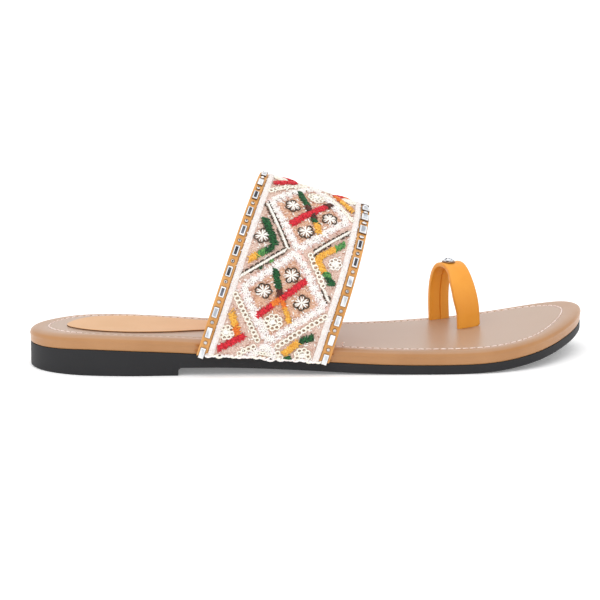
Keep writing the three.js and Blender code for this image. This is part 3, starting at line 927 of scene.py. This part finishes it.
def worked(a, q, lift):
    """A point of the pattern, a across from the middle of the ribbon and q along it."""
    return on_band(0.5 + a / PATTERN_WIDTH, q - PATTERN_SHEAR * a, lift)


def inside(a, q, past=-0.85):
    s = q - PATTERN_SHEAR * a
    return abs(a) < FIELD_HALF_WIDTH and -past < s < band_length(0.5 + a / PATTERN_WIDTH) + past


def stroke(colour, a, q, angle, length, arch, lift):
    """One straight stitch about its middle, raised in its middle and sunk at its ends."""
    ca, sa = math.cos(angle) * length / 2, math.sin(angle) * length / 2
    if inside(a - ca, q - sa) and inside(a + ca, q + sa):
        rises = ((-1, -0.1), (-0.6, arch * 0.75), (0, arch), (0.6, arch * 0.75), (1, -0.1))
        routes[colour].append(
            [worked(a + ca * t, q + sa * t, lift + rise) for t, rise in rises]
        )


def ring_stitch(colour, a, q, radius, lift):
    """A small ring of thread round a short dark stroke, painted shade for the shadowed hole of
    the net inside the ring.
    """
    if not inside(a, q, -1.5):
        return
    # Painted shade in the ring's middle.
    stroke("hole_shade", a, q, 0.7, 0.8 * radius, 0.02, -0.08)
    turns = [2 * math.pi * k / 9 for k in range(9)]
    ring = [worked(a + radius * math.cos(t), q + radius * math.sin(t), lift) for t in turns]
    routes[colour].append((ring, True))


def along_line(start, end, step):
    """Even places along a straight line of the pattern, with its direction."""
    (a0, q0), (a1, q1) = start, end
    length = math.hypot(a1 - a0, q1 - q0)
    count = max(1, round(length / step))
    way = math.atan2(q1 - q0, a1 - a0)
    for k in range(count):
        t = (k + 0.5) / count
        yield k, t, a0 + (a1 - a0) * t, q0 + (q1 - q0) * t, way


def bar(colours, start, end, width):
    """A bar of crossing slant stitches, worked thickly, with ends that stick out at its sides.
    colours is one colour, or several that follow each other along the bar."""
    colours = colours.split()
    for k, t, a, q, way in along_line(start, end, 0.22):
        shade = colours[min(len(colours) - 1, int(t * len(colours) + rng.uniform(-0.12, 0.12)))]
        one_way = shade in ("green", "lime") or k % 2
        slant = math.radians(rng.uniform(50, 72)) * (1 if one_way else -1)
        off = rng.uniform(-0.35, 0.35)
        stroke(shade, a - math.sin(way) * off, q + math.cos(way) * off, way + slant,
               width * rng.uniform(0.78, 1.24), 0.5, rng.uniform(0.1, 0.5))


def flower(a, q):
    """White looped petals from a middle, each in a thick dark loop; one loop is left open."""
    if not inside(a, q):
        return
    first = rng.uniform(0, 1)
    missing = rng.randrange(PETALS)
    reach = FLOWER_RADIUS * 0.66
    round_it = math.sin(math.pi / PETALS) * reach * 1.04
    for k in range(PETALS):
        turn = first + 2 * math.pi * k / PETALS
        for spread in (-0.17, 0.17):
            stroke("white", a + FLOWER_RADIUS * 0.42 * math.cos(turn + spread),
                   q + FLOWER_RADIUS * 0.42 * math.sin(turn + spread),
                   turn + spread * 1.6, FLOWER_RADIUS * 0.82, 0.34, 0.4)
        if k == missing:
            continue
        arc = []
        for step in range(-4, 5):
            way = turn + step / 4 * math.radians(rng.uniform(104, 116))
            arc.append(worked(
                a + reach * math.cos(turn) + round_it * math.cos(way),
                q + reach * math.sin(turn) + round_it * math.sin(way), 0.42,
            ))
        routes["brown"].append(arc)


def ring_flower(a, q, rings, radius, shade):
    size = math.pi * radius / rings * 1.02
    for k in range(rings):
        turn = 2 * math.pi * k / rings
        ring_stitch(shade, a + radius * math.cos(turn), q + radius * math.sin(turn), size, 0.38)
    for k in range(12):
        stroke("white", a + rng.uniform(-0.7, 0.7), q + rng.uniform(-0.7, 0.7),
               rng.uniform(0, math.pi), 2.4, 0.4, 0.3)


def fuzzy_line(start, end):
    """A border of short curled loops of soft thread."""
    (a0, q0), (a1, q1) = start, end
    length = math.hypot(a1 - a0, q1 - q0)
    na, nq = -(q1 - q0) / length, (a1 - a0) / length
    for _ in range(round(length * BORDER_WIDTH * BORDER_LOOPS)):
        t = rng.random()
        off = BORDER_WIDTH * (rng.betavariate(2.2, 2.2) - 0.5) * 1.15
        a = a0 + (a1 - a0) * t + na * off
        q = q0 + (q1 - q0) * t + nq * off
        if not inside(a, q):
            continue
        turn, size = rng.uniform(0, 2 * math.pi), rng.uniform(0.5, 0.95)
        bend = rng.uniform(0.9, 1.9) * rng.choice((-1, 1))
        top = rng.uniform(0.25, 0.55)
        loop = []
        for k in (-1, -0.35, 0.35, 1):
            way = turn + bend * k
            rise = 0.1 + top * (1 - abs(k))
            loop.append(worked(a + size * k * math.cos(way), q + size * k * math.sin(way), rise))
        routes["border"].append(loop)


def rope(start, end, dark_side):
    """A laid cord of long white plies, with dark thread looped along both its sides, closely
    on one and with gaps on the other."""
    for k, t, a, q, way in along_line(start, end, 1.05):
        off = rng.uniform(-0.1, 0.1)
        stroke("cord", a, q + off, way + rng.uniform(0.34, 0.5), 2.3, 0.34, 0.42)
    for side, shift in ((dark_side, 0), (-dark_side, 1.15)):
        for k, t, a, q, way in along_line(start, end, 2.3):
            if side != dark_side and rng.random() < 0.35:
                continue
            arc = []
            for share, off in ((-0.9, 0), (-0.65, 0.3), (-0.2, 0.42), (0.2, 0.42), (0.65, 0.3),
                               (0.9, 0)):
                share += shift
                off = side * (0.68 + off)
                place = (a + share * math.cos(way) - math.sin(way) * off,
                         q + share * math.sin(way) + math.cos(way) * off)
                if inside(*place):
                    arc.append(worked(*place, 0.32))
            if len(arc) > 2:
                routes["brown"].append(arc)


def star(a, q):
    """Short white rays from one needle hole, worked high on the lattice."""
    first = rng.uniform(0, 1)
    for k in range(7):
        turn = first + 2 * math.pi * k / 7
        stroke("white", a + 0.8 * math.cos(turn), q + 0.8 * math.sin(turn), turn,
               rng.uniform(1.2, 1.8), 0.2, 0.5)


def ring_chain(start, end, size):
    for k, t, a, q, way in along_line(start, end, 2 * size * 1.02):
        off = rng.uniform(-0.16, 0.16)
        ring_stitch("ivory", a + off, q - off, size * rng.uniform(0.92, 1.08), 0.36)


def hem_and_tapes():
    """Scallops along the two ends of the ribbon, and short soft loops all over the tapes."""
    for near in (True, False):
        v = RIBBON_START + 0.01
        while v < 1 - RIBBON_START:
            size = rng.uniform(0.8, 1.3)
            foot = rng.uniform(1.1, 2.1)
            for more in (0, 0.45):
                loop = []
                for k in range(7):
                    turn = math.pi * k / 6
                    s = foot - (size + more) * 0.75 * math.sin(turn)
                    s = s if near else band_length(v) - s
                    place = v - (size + more) * math.cos(turn) / PATTERN_WIDTH
                    loop.append(on_band(place, s, 0.15 + 0.3 * math.sin(turn)))
                routes["ivory" if rng.random() < 0.3 else "border"].append(loop)
            v += 1.75 * size / PATTERN_WIDTH
    for v in (RIBBON_START + TAPE_SHARE / 2, 1 - RIBBON_START - TAPE_SHARE / 2):
        for _ in range(TAPE_LOOPS):
            s = rng.uniform(0.8, band_length(v) - 0.8)
            share = rng.triangular(-0.54, 0.54)
            place = v + share * TAPE_SHARE
            turn, size = rng.uniform(0, 2 * math.pi), rng.uniform(0.35, 0.7)
            low = 0.1 + TAPE_RISE * math.sqrt(max(0, 0.3 - share * share))
            loop = []
            for k, rise in ((-1, -0.1), (-0.35, 0.22), (0.35, 0.22), (1, -0.1)):
                way = turn + k
                spot = place + size * k * math.cos(way) / PATTERN_WIDTH
                loop.append(on_band(spot, s + size * k * math.sin(way), low + rise))
            routes["tape"].append(loop)


def diamond_border(middle):
    share = BORDER_SHARE
    corners = [
        (0, middle + DIAMOND_HALF_LENGTH * share), (DIAMOND_HALF_WIDTH * share, middle),
        (0, middle - DIAMOND_HALF_LENGTH * share), (-DIAMOND_HALF_WIDTH * share, middle),
    ]
    for start, end in zip(corners, corners[1:] + corners[:1]):
        fuzzy_line(start, end)
        for k, t, a, q, way in along_line(start, end, STAR_STEP):
            off = rng.uniform(-0.5, 0.5)
            star(a - math.sin(way) * off, q + math.cos(way) * off)


def net_stitches():
    """Small slanting stitches scattered over the whole ground."""
    reach = band_length(0.5)
    for _ in range(NET_STITCHES):
        a = rng.uniform(-FIELD_HALF_WIDTH, FIELD_HALF_WIDTH)
        q = rng.uniform(-5, reach + 5)
        colour = rng.choice(("pink", "pink", "pink", "rust", "white"))
        stroke(colour, a, q, rng.choice((0.6, 2.3)) + rng.uniform(-0.3, 0.3),
               rng.uniform(0.8, 1.5), 0.2, 0.0)


# The work of one field, from its middle: its kind or its colours, where it starts and ends across
# and along, and its width or its dark side. The lower cross has a red bar that turns orange in
# its middle, over a yellow arm. The upper one has a red bar between a green arm and one that
# turns brown and yellow. The side fields are placed from the middle of a crossing.
LOWER_CROSS = (
    ("red red orange red red red", (-7.8, -10.8), (6.8, 9.2), 3.1),
    ("green green green maroon", (-6.6, 11.4), (-1.2, 0.6), 2.9),
    ("orange yellow yellow", (0.2, -1.2), (5.8, -10.2), 2.0),
    ("flower", (0.6, 10.2)),
    ("flower", (-8.2, 0.8)),
    ("flower", (7.9, -0.3)),
    ("large ring flower", (-0.6, -11.6)),
)
UPPER_CROSS = (
    ("red red red red red maroon", (-5.9, -9.4), (8.4, 8.8), 3.2),
    ("green green green maroon", (-6.6, 11.6), (0.2, 0.2), 3.0),
    ("maroon green yellow yellow", (1.6, -1.4), (6.6, -10.6), 2.9),
    ("large ring flower", (1.4, 11.0)),
    ("flower", (-7.4, 0.7)),
    ("flower", (9.2, -1.5)),
    ("flower", (0.9, -11.3)),
)
CHAIN_FIELDS = (
    ("chain", (-19.4, 18.6), (-3.6, -0.6)),
    ("chain", (-4.4, -2.2), (-19.4, -16.4)),
    ("yellow yellow orange", (-18.4, 10.6), (-12.6, 0.6), 3.2),
    ("red", (-10.0, 0.8), (-19.4, -8.6), 3.2),
    ("ring flower", (-17.4, 0.4)),
    ("chain", (19.4, 18.0), (3.6, -0.8)),
    ("chain", (4.4, -2.4), (19.4, -17.0)),
    ("green", (16.8, 7.4), (12.0, 4.0), 3.2),
    ("yellow", (11.8, 3.6), (7.2, -2.8), 3.2),
    ("green yellow", (8.8, -3.8), (13.2, -7.6), 2.8),
    ("ring flower", (14.8, -1.4)),
    ("fine chain", (-3.2, -4.9), (3.2, -4.6)),
)
ROPE_FIELDS = (
    ("rope", (-19.2, 20.6), (-4.2, 0.0), 1),
    ("rope", (-4.6, -0.6), (-19.2, -16.6), -1),
    ("green", (-18.4, 13.4), (-9.6, 0.2), 3.4),
    ("green lime yellow", (-9.8, -0.6), (-18.0, -8.6), 3.2),
    ("lime", (-8.2, -6.6), (-9.4, -7.5), 1.3),
    ("green", (-11.7, -10.7), (-12.6, -11.4), 1.2),
    ("flower", (-15.9, 3.0)),
    ("rope", (18.9, 15.8), (6.6, 1.0), -1),
    ("chain", (5.0, 0.4), (14.6, -13.0)),
    ("rope", (14.6, -13.4), (18.6, -19.0), -1),
    ("lime yellow yellow", (18.0, 8.8), (8.4, -1.2), 3.0),
    ("yellow", (8.8, -1.4), (12.6, -6.4), 3.2),
    ("lime green green", (13.6, -6.2), (18.6, -12.4), 3.0),
    ("white flower", (16.3, -1.6)),
)
CREAM_FIELDS = (
    ("chain", (-19.4, -15.4), (-4.0, -0.4)),
    ("chain", (-4.0, 0.4), (-19.4, 17.0)),
    ("red", (-18.6, -8.4), (-9.4, 0.0), 3.2),
    ("red red orange", (-9.4, 0.6), (-18.6, 10.4), 3.2),
    ("ring flower", (-16.4, 0.6)),
    ("fine chain", (19.2, -20.0), (4.6, -2.6)),
    ("fine chain", (4.6, 1.8), (19.2, 17.4)),
    ("yellow yellow orange", (18.8, -13.4), (10.0, -2.2), 3.0),
    ("red orange yellow", (9.8, -1.4), (18.6, 9.4), 3.1),
    ("ring flower", (16.4, -1.6)),
)
CHAIN_SIZES = {"chain": 1.02, "fine chain": 0.62}
# The rings of each ring flower, its radius and its thread.
RING_FLOWERS = {
    "large ring flower": (9, 2.75, "ivory"),
    "ring flower": (8, 2.35, "ivory"),
    "white flower": (7, 1.9, "white"),
}


def work_field(middle, rows):
    for work, (a, q), *rest in rows:
        start = (a, q + middle)
        end = (rest[0][0], rest[0][1] + middle) if rest else None
        if work in CHAIN_SIZES:
            ring_chain(start, end, CHAIN_SIZES[work])
        elif work == "rope":
            rope(start, end, rest[1])
        elif work == "flower":
            flower(*start)
        elif work in RING_FLOWERS:
            ring_flower(*start, *RING_FLOWERS[work])
        else:
            bar(work, start, end, rest[1])


net_stitches()
hem_and_tapes()
for index in range(-1, 5):
    crossing = FIRST_CROSSING + index * PATTERN_PITCH
    middle = crossing + DIAMOND_HALF_LENGTH
    diamond_border(middle)
    work_field(middle, (LOWER_CROSS, UPPER_CROSS)[index % 2])
    work_field(crossing, (CHAIN_FIELDS, ROPE_FIELDS, CREAM_FIELDS)[index % 3])

for colour, (radius, light, deep, roughness) in THREADS.items():
    paint = thread_paint(colour + "_thread", light, deep, roughness, 1300)
    sewn = threads(colour + "_embroidery", routes[colour], radius, paint, 0)
    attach(sewn, "root")

# Mirror stones
# Along each trim, oblong foil-backed stones between small round crystals, each glued on in a
# thin dark collar, whose dark brown is partly glue and partly painted shade round the stone's
# foot. The middle of each stone's table is painted with a reflection of the room in its mirror
# foil: dark on a stretch of each leg below the crown, pale elsewhere. Over the crown of the front
# trim the stones are broader and hide most of the strip.

# Along each trim: where the lowest stone sits, and how far apart the oblong ones are.
STONE_ROWS = (("rear", TRIM_SHARE / 2, 1.6, 9.45), ("front", 1 - TRIM_SHARE / 2, 2.1, 8.95))
OBLONG_LONG = 4.6
OBLONG_WIDE = 2.25
STONE_RISE = 1.2
ROUND_RADIUS = 0.85
COLLAR = 0.12
CROWDED_ABOVE = 58
CROWDED_WIDTH = 1.42


def stone_frame(v, s):
    """Where a stone sits on its trim: across the trim, along it, and out."""
    here = on_band(v, s)
    along = (on_band(v, s + 0.5) - on_band(v, s - 0.5)).normalized()
    out = (on_band(v, s, 1) - here).normalized()
    across = along.cross(out).normalized()
    out = across.cross(along)
    place = Matrix.Identity(4)
    for k, axis in enumerate((across, along, out)):
        for r in range(3):
            place[r][k] = axis[r]
    place.translation = here
    return place


def stepped(bm, top, steps):
    """Insets a face again and again, each time by a step's width, rise and finish."""
    for width, rise, finish in steps:
        made = bmesh.ops.inset_region(bm, faces=[top], thickness=width, use_even_offset=True)
        bmesh.ops.translate(bm, vec=(0, 0, rise), verts=top.verts)
        for face in made["faces"]:
            face.material_index = finish
        top.material_index = finish


def oblong_stone(middle_reflection):
    """A dark collar, a bright sloped frame and a sunk table whose middle is painted with the
    reflection it is given.
    """
    bm = bmesh.new()
    bmesh.ops.create_cube(bm, size=1)
    base = 0.5 * STONE_RISE
    bmesh.ops.scale(bm, vec=(OBLONG_WIDE + 2 * COLLAR, OBLONG_LONG + 2 * COLLAR, base),
                    verts=bm.verts)
    bmesh.ops.translate(bm, vec=(0, 0, base / 2), verts=bm.verts)
    for face in bm.faces:
        face.material_index = 1
    top = max(bm.faces, key=lambda f: f.calc_center_median().z)
    stepped(bm, top, ((COLLAR, -0.1, 1), (0.02, 0.3, 0), (0.3, 0.22, 0), (0.16, 0, 0),
                      (0.02, -0.08, middle_reflection)))
    bmesh.ops.recalc_face_normals(bm, faces=bm.faces)
    return bm


def round_stone(middle_reflection):
    """A round crystal in a collar, with a ring of facets round its table, whose middle is painted
    with the reflection it is given.
    """
    bm = bmesh.new()
    bmesh.ops.create_cone(bm, cap_ends=True, segments=8, radius1=ROUND_RADIUS + COLLAR,
                          radius2=ROUND_RADIUS, depth=0.5)
    bmesh.ops.translate(bm, vec=(0, 0, 0.25), verts=bm.verts)
    for face in bm.faces:
        face.material_index = 1
    top = max(bm.faces, key=lambda f: f.calc_center_median().z)
    stepped(bm, top, ((0.1, -0.05, 1), (0.03, 0.2, 0), (0.26, 0.4, 0), (0.04, -0.1, 1),
                      (0.12, 0.12, middle_reflection)))
    bmesh.ops.recalc_face_normals(bm, faces=bm.faces)
    return bm


def shows_dark_reflection(v, s):
    """Whether a stone's table gets the painted dark reflection: those on the leg below the crown
    do.
    """
    start, end = (26, 84) if v < 0.5 else (44, CROWDED_ABOVE)
    return start < s < end or band_length(v) - end < s < band_length(v) - start


def set_stones(name, v, first, pitch, make, materials):
    """One mesh of all stones of a kind along a trim."""
    bm = bmesh.new()
    templates = []
    for finish in (2, 3):
        cut = make(finish)
        templates.append(bpy.data.meshes.new(f"{name}_{finish}"))
        cut.to_mesh(templates[-1])
        cut.free()
    s = first
    while s < band_length(v) - 1.5:
        known = set(bm.verts)
        # Stones that get the painted dark reflection take the second template.
        bm.from_mesh(templates[1 if shows_dark_reflection(v, s) else 0])
        fresh = [vert for vert in bm.verts if vert not in known]
        crowded = v > 0.5 and CROWDED_ABOVE < s < band_length(v) - CROWDED_ABOVE
        shape = Matrix.Diagonal((CROWDED_WIDTH if crowded else 1, 1, 1, 1))
        bmesh.ops.transform(bm, matrix=stone_frame(v, s) @ shape, verts=fresh)
        s += pitch
    for template in templates:
        bpy.data.meshes.remove(template)
    piece = to_piece(name, bm, materials[0])
    for material in materials[1:]:
        piece.data.materials.append(material)
    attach(piece, "root")
    return piece


def foil(name, light, deep, metallic, roughness):
    """Foil seen through cut glass, in slow shades."""
    return two_tone(name, light, deep, {"Scale": 210, "Detail": 1}, (0.42, 0.58),
                    Metallic=metallic, Roughness=roughness, Coat_Weight=0.6,
                    Coat_Roughness=0.05)


bright_foil = foil("bright_foil", (0.86, 0.87, 0.88, 1), (0.72, 0.73, 0.75, 1), 0.3, 0.14)
collar_paint = foil("dark_collar", (0.26, 0.14, 0.065, 1), (0.10, 0.055, 0.03, 1), 0.3, 0.4)
# The middles of the tables: painted pale and dark reflections of the room in the mirror foil.
pale_reflection_paint = foil("pale_reflection_paint", (0.74, 0.77, 0.80, 1), (0.34, 0.37, 0.42, 1), 0.4, 0.16)
dark_reflection_paint = foil("dark_reflection_paint", (0.11, 0.12, 0.16, 1), (0.018, 0.02, 0.03, 1), 0.4, 0.14)
stone_finishes = [bright_foil, collar_paint, pale_reflection_paint, dark_reflection_paint]
for name, v, first, pitch in STONE_ROWS:
    set_stones(name + "_oblong_stones", v, first, pitch, oblong_stone, stone_finishes)
    set_stones(name + "_round_stones", v, first + pitch / 2, pitch, round_stone, stone_finishes)

# Toe loop
# A folded strap of smooth mustard leather, standing in two slits of the footbed and glued
# underneath, with the joint of its fold down the inside of one leg.

LOOP_AT = 193
LOOP_ACROSS = 20.5
LOOP_SPAN = 24.7
LOOP_TURN = math.radians(22)
LOOP_LEAN = math.radians(3)
LOOP_LEG = 4
LOOP_RISE = 28.6
LOOP_WIDTH = 10.3
LOOP_WALL = 2
LOOP_ROOT = 3.6
SQUARENESS_NEAR = 0.95
SQUARENESS_FAR = 0.86
loop_place = (
    Matrix.Translation((LOOP_AT, LOOP_ACROSS, footbed_top(LOOP_AT)))
    @ Matrix.Rotation(LOOP_TURN, 4, "Z")
    @ Matrix.Rotation(-LOOP_LEAN, 4, "Y")
)


def loop_line(share):
    """The strap's middle line, in its own frame, with the way out: up one leg, over, down."""
    half = LOOP_SPAN / 2 - LOOP_WALL / 2 + 1
    rise = LOOP_RISE - LOOP_WALL / 2 - LOOP_LEG
    straight = LOOP_LEG + LOOP_ROOT
    arc = math.pi * (half + rise) / 2
    way = share * (2 * straight + arc)
    if way < straight:
        return Vector((0, -half, way - LOOP_ROOT)), Vector((0, -1, 0))
    if way > straight + arc:
        return Vector((0, half, LOOP_LEG - (way - straight - arc))), Vector((0, 1, 0))
    turn = math.pi * (way - straight) / arc
    c, s = math.cos(turn), math.sin(turn)
    squareness = SQUARENESS_NEAR if c > 0 else SQUARENESS_FAR
    place = Vector((
        0,
        -half * math.copysign(abs(c) ** squareness, c),
        LOOP_LEG + rise * max(0, s) ** squareness,
    ))
    out = Vector((0, -c / half, s / rise)).normalized()
    return place, out


# The strap's section from edge to edge over its outer face and back along its inner one, where
# the folded edges meet: shares of half its width across and of half its thickness out.
STRAP_SECTION = (
    (-1, 0.5), (-0.985, 0.85), (-0.95, 1), (-0.5, 1.03), (0, 1.05), (0.5, 1.03), (0.95, 1),
    (0.985, 0.85), (1, 0.5), (1, -0.5), (0.985, -0.85), (0.95, -1), (0.5, -1), (0.2, -1.12),
    (0.1, -1.1), (0.07, -0.6), (0.03, -0.6), (0, -0.95), (-0.5, -1), (-0.95, -1),
    (-0.985, -0.85), (-1, -0.5),
)
STRAP_ROWS = 96
FOOT_SPREAD = 1.1
JOINT_WRINKLE = 0.18


def loop_law(column, row):
    across, thick = STRAP_SECTION[column % len(STRAP_SECTION)]
    share = row / STRAP_ROWS
    place, out = loop_line(share)
    spread = 0
    if across > 0 and share < 0.5:
        spread = FOOT_SPREAD * ease(0.2, 0.6, place.z) * (1 - ease(8, 26, place.z))
    elif share < 0.5:
        spread = -FOOT_SPREAD * ease(6, 15, place.z) * (1 - ease(20, 27, place.z))
    if thick < -0.5 and 0.5 < share < 0.75:
        near = math.exp(-((across - 0.05) / 0.3) ** 2) * math.sin(math.pi * (share - 0.5) / 0.25)
        thick += JOINT_WRINKLE * near * (1 + math.sin(row * 1.9)) * 2
    across = across * LOOP_WIDTH / 2 + spread
    level = across * math.sin(LOOP_LEAN) * ease(14, 27, place.z)
    return loop_place @ (place + Vector((across, 0, -level)) + out * thick * LOOP_WALL / 2)


loop_bm = shaped_grid(len(STRAP_SECTION), STRAP_ROWS, loop_law)
bmesh.ops.holes_fill(loop_bm, edges=[e for e in loop_bm.edges if e.is_boundary], sides=40)
bmesh.ops.recalc_face_normals(loop_bm, faces=loop_bm.faces)
loop = to_piece("toe_loop_strap", loop_bm, mustard_leather)
smooth(loop, math.radians(45))
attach(loop, "root")
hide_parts("toe_loop")

# Stud
# One flat round crystal in a thin gilt cup, riveted through the crown of the toe loop. The
# crystal is cut glass with foil behind it, and stands a little above the cup's rim. Some of its
# top facets are painted with pale and dark reflections.

STUD_RADIUS = 3.1
STUD_CUP_HEIGHT = 0.55
STUD_STONE_RADIUS = 2.4
STUD_BACK = 1.3
stud_place = (
    loop_place
    @ Matrix.Translation((-STUD_BACK, 0, LOOP_RISE + 0.15))
    @ Matrix.Rotation(LOOP_LEAN, 4, "Y")
)
stud_bm = bmesh.new()
bmesh.ops.create_cone(stud_bm, cap_ends=True, segments=40, radius1=STUD_RADIUS,
                      radius2=STUD_RADIUS - 0.25, depth=STUD_CUP_HEIGHT)
bmesh.ops.translate(stud_bm, verts=stud_bm.verts, vec=(0, 0, STUD_CUP_HEIGHT / 2))
bmesh.ops.transform(stud_bm, matrix=stud_place, verts=stud_bm.verts)
gilt = foil("gilt_cup", (0.42, 0.22, 0.08, 1), (0.20, 0.09, 0.03, 1), 0.7, 0.35)
cup = to_piece("stud_cup", stud_bm, gilt)
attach(cup, "root")
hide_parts("toe_loop_stud")

crystal_bm = bmesh.new()
bmesh.ops.create_cone(crystal_bm, cap_ends=True, segments=12, radius1=STUD_STONE_RADIUS,
                      radius2=STUD_STONE_RADIUS - 0.2, depth=0.4)
bmesh.ops.translate(crystal_bm, verts=crystal_bm.verts, vec=(0, 0, STUD_CUP_HEIGHT + 0.2))
table = max(crystal_bm.faces, key=lambda f: f.calc_center_median().z)
stepped(crystal_bm, table, ((0.45, 0.6, 0), (0.06, -0.04, 1), (0.6, 0.35, 0), (0.5, 0.15, 0)))
# Painted reflections: the top facets take the pale and the dark reflection paint in a fixed turn.
for k, facet in enumerate(crystal_bm.faces):
    if facet.calc_center_median().z > STUD_CUP_HEIGHT + 0.1:
        facet.material_index = (0, 0, 2, 0, 0, 3, 0, 2, 0)[k % 9]
bmesh.ops.transform(crystal_bm, matrix=stud_place, verts=crystal_bm.verts)
bmesh.ops.recalc_face_normals(crystal_bm, faces=crystal_bm.faces)
stud_stone = to_piece("stud_crystal", crystal_bm, bright_foil)
for finish in (collar_paint, pale_reflection_paint, dark_reflection_paint):
    stud_stone.data.materials.append(finish)
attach(stud_stone, "root")
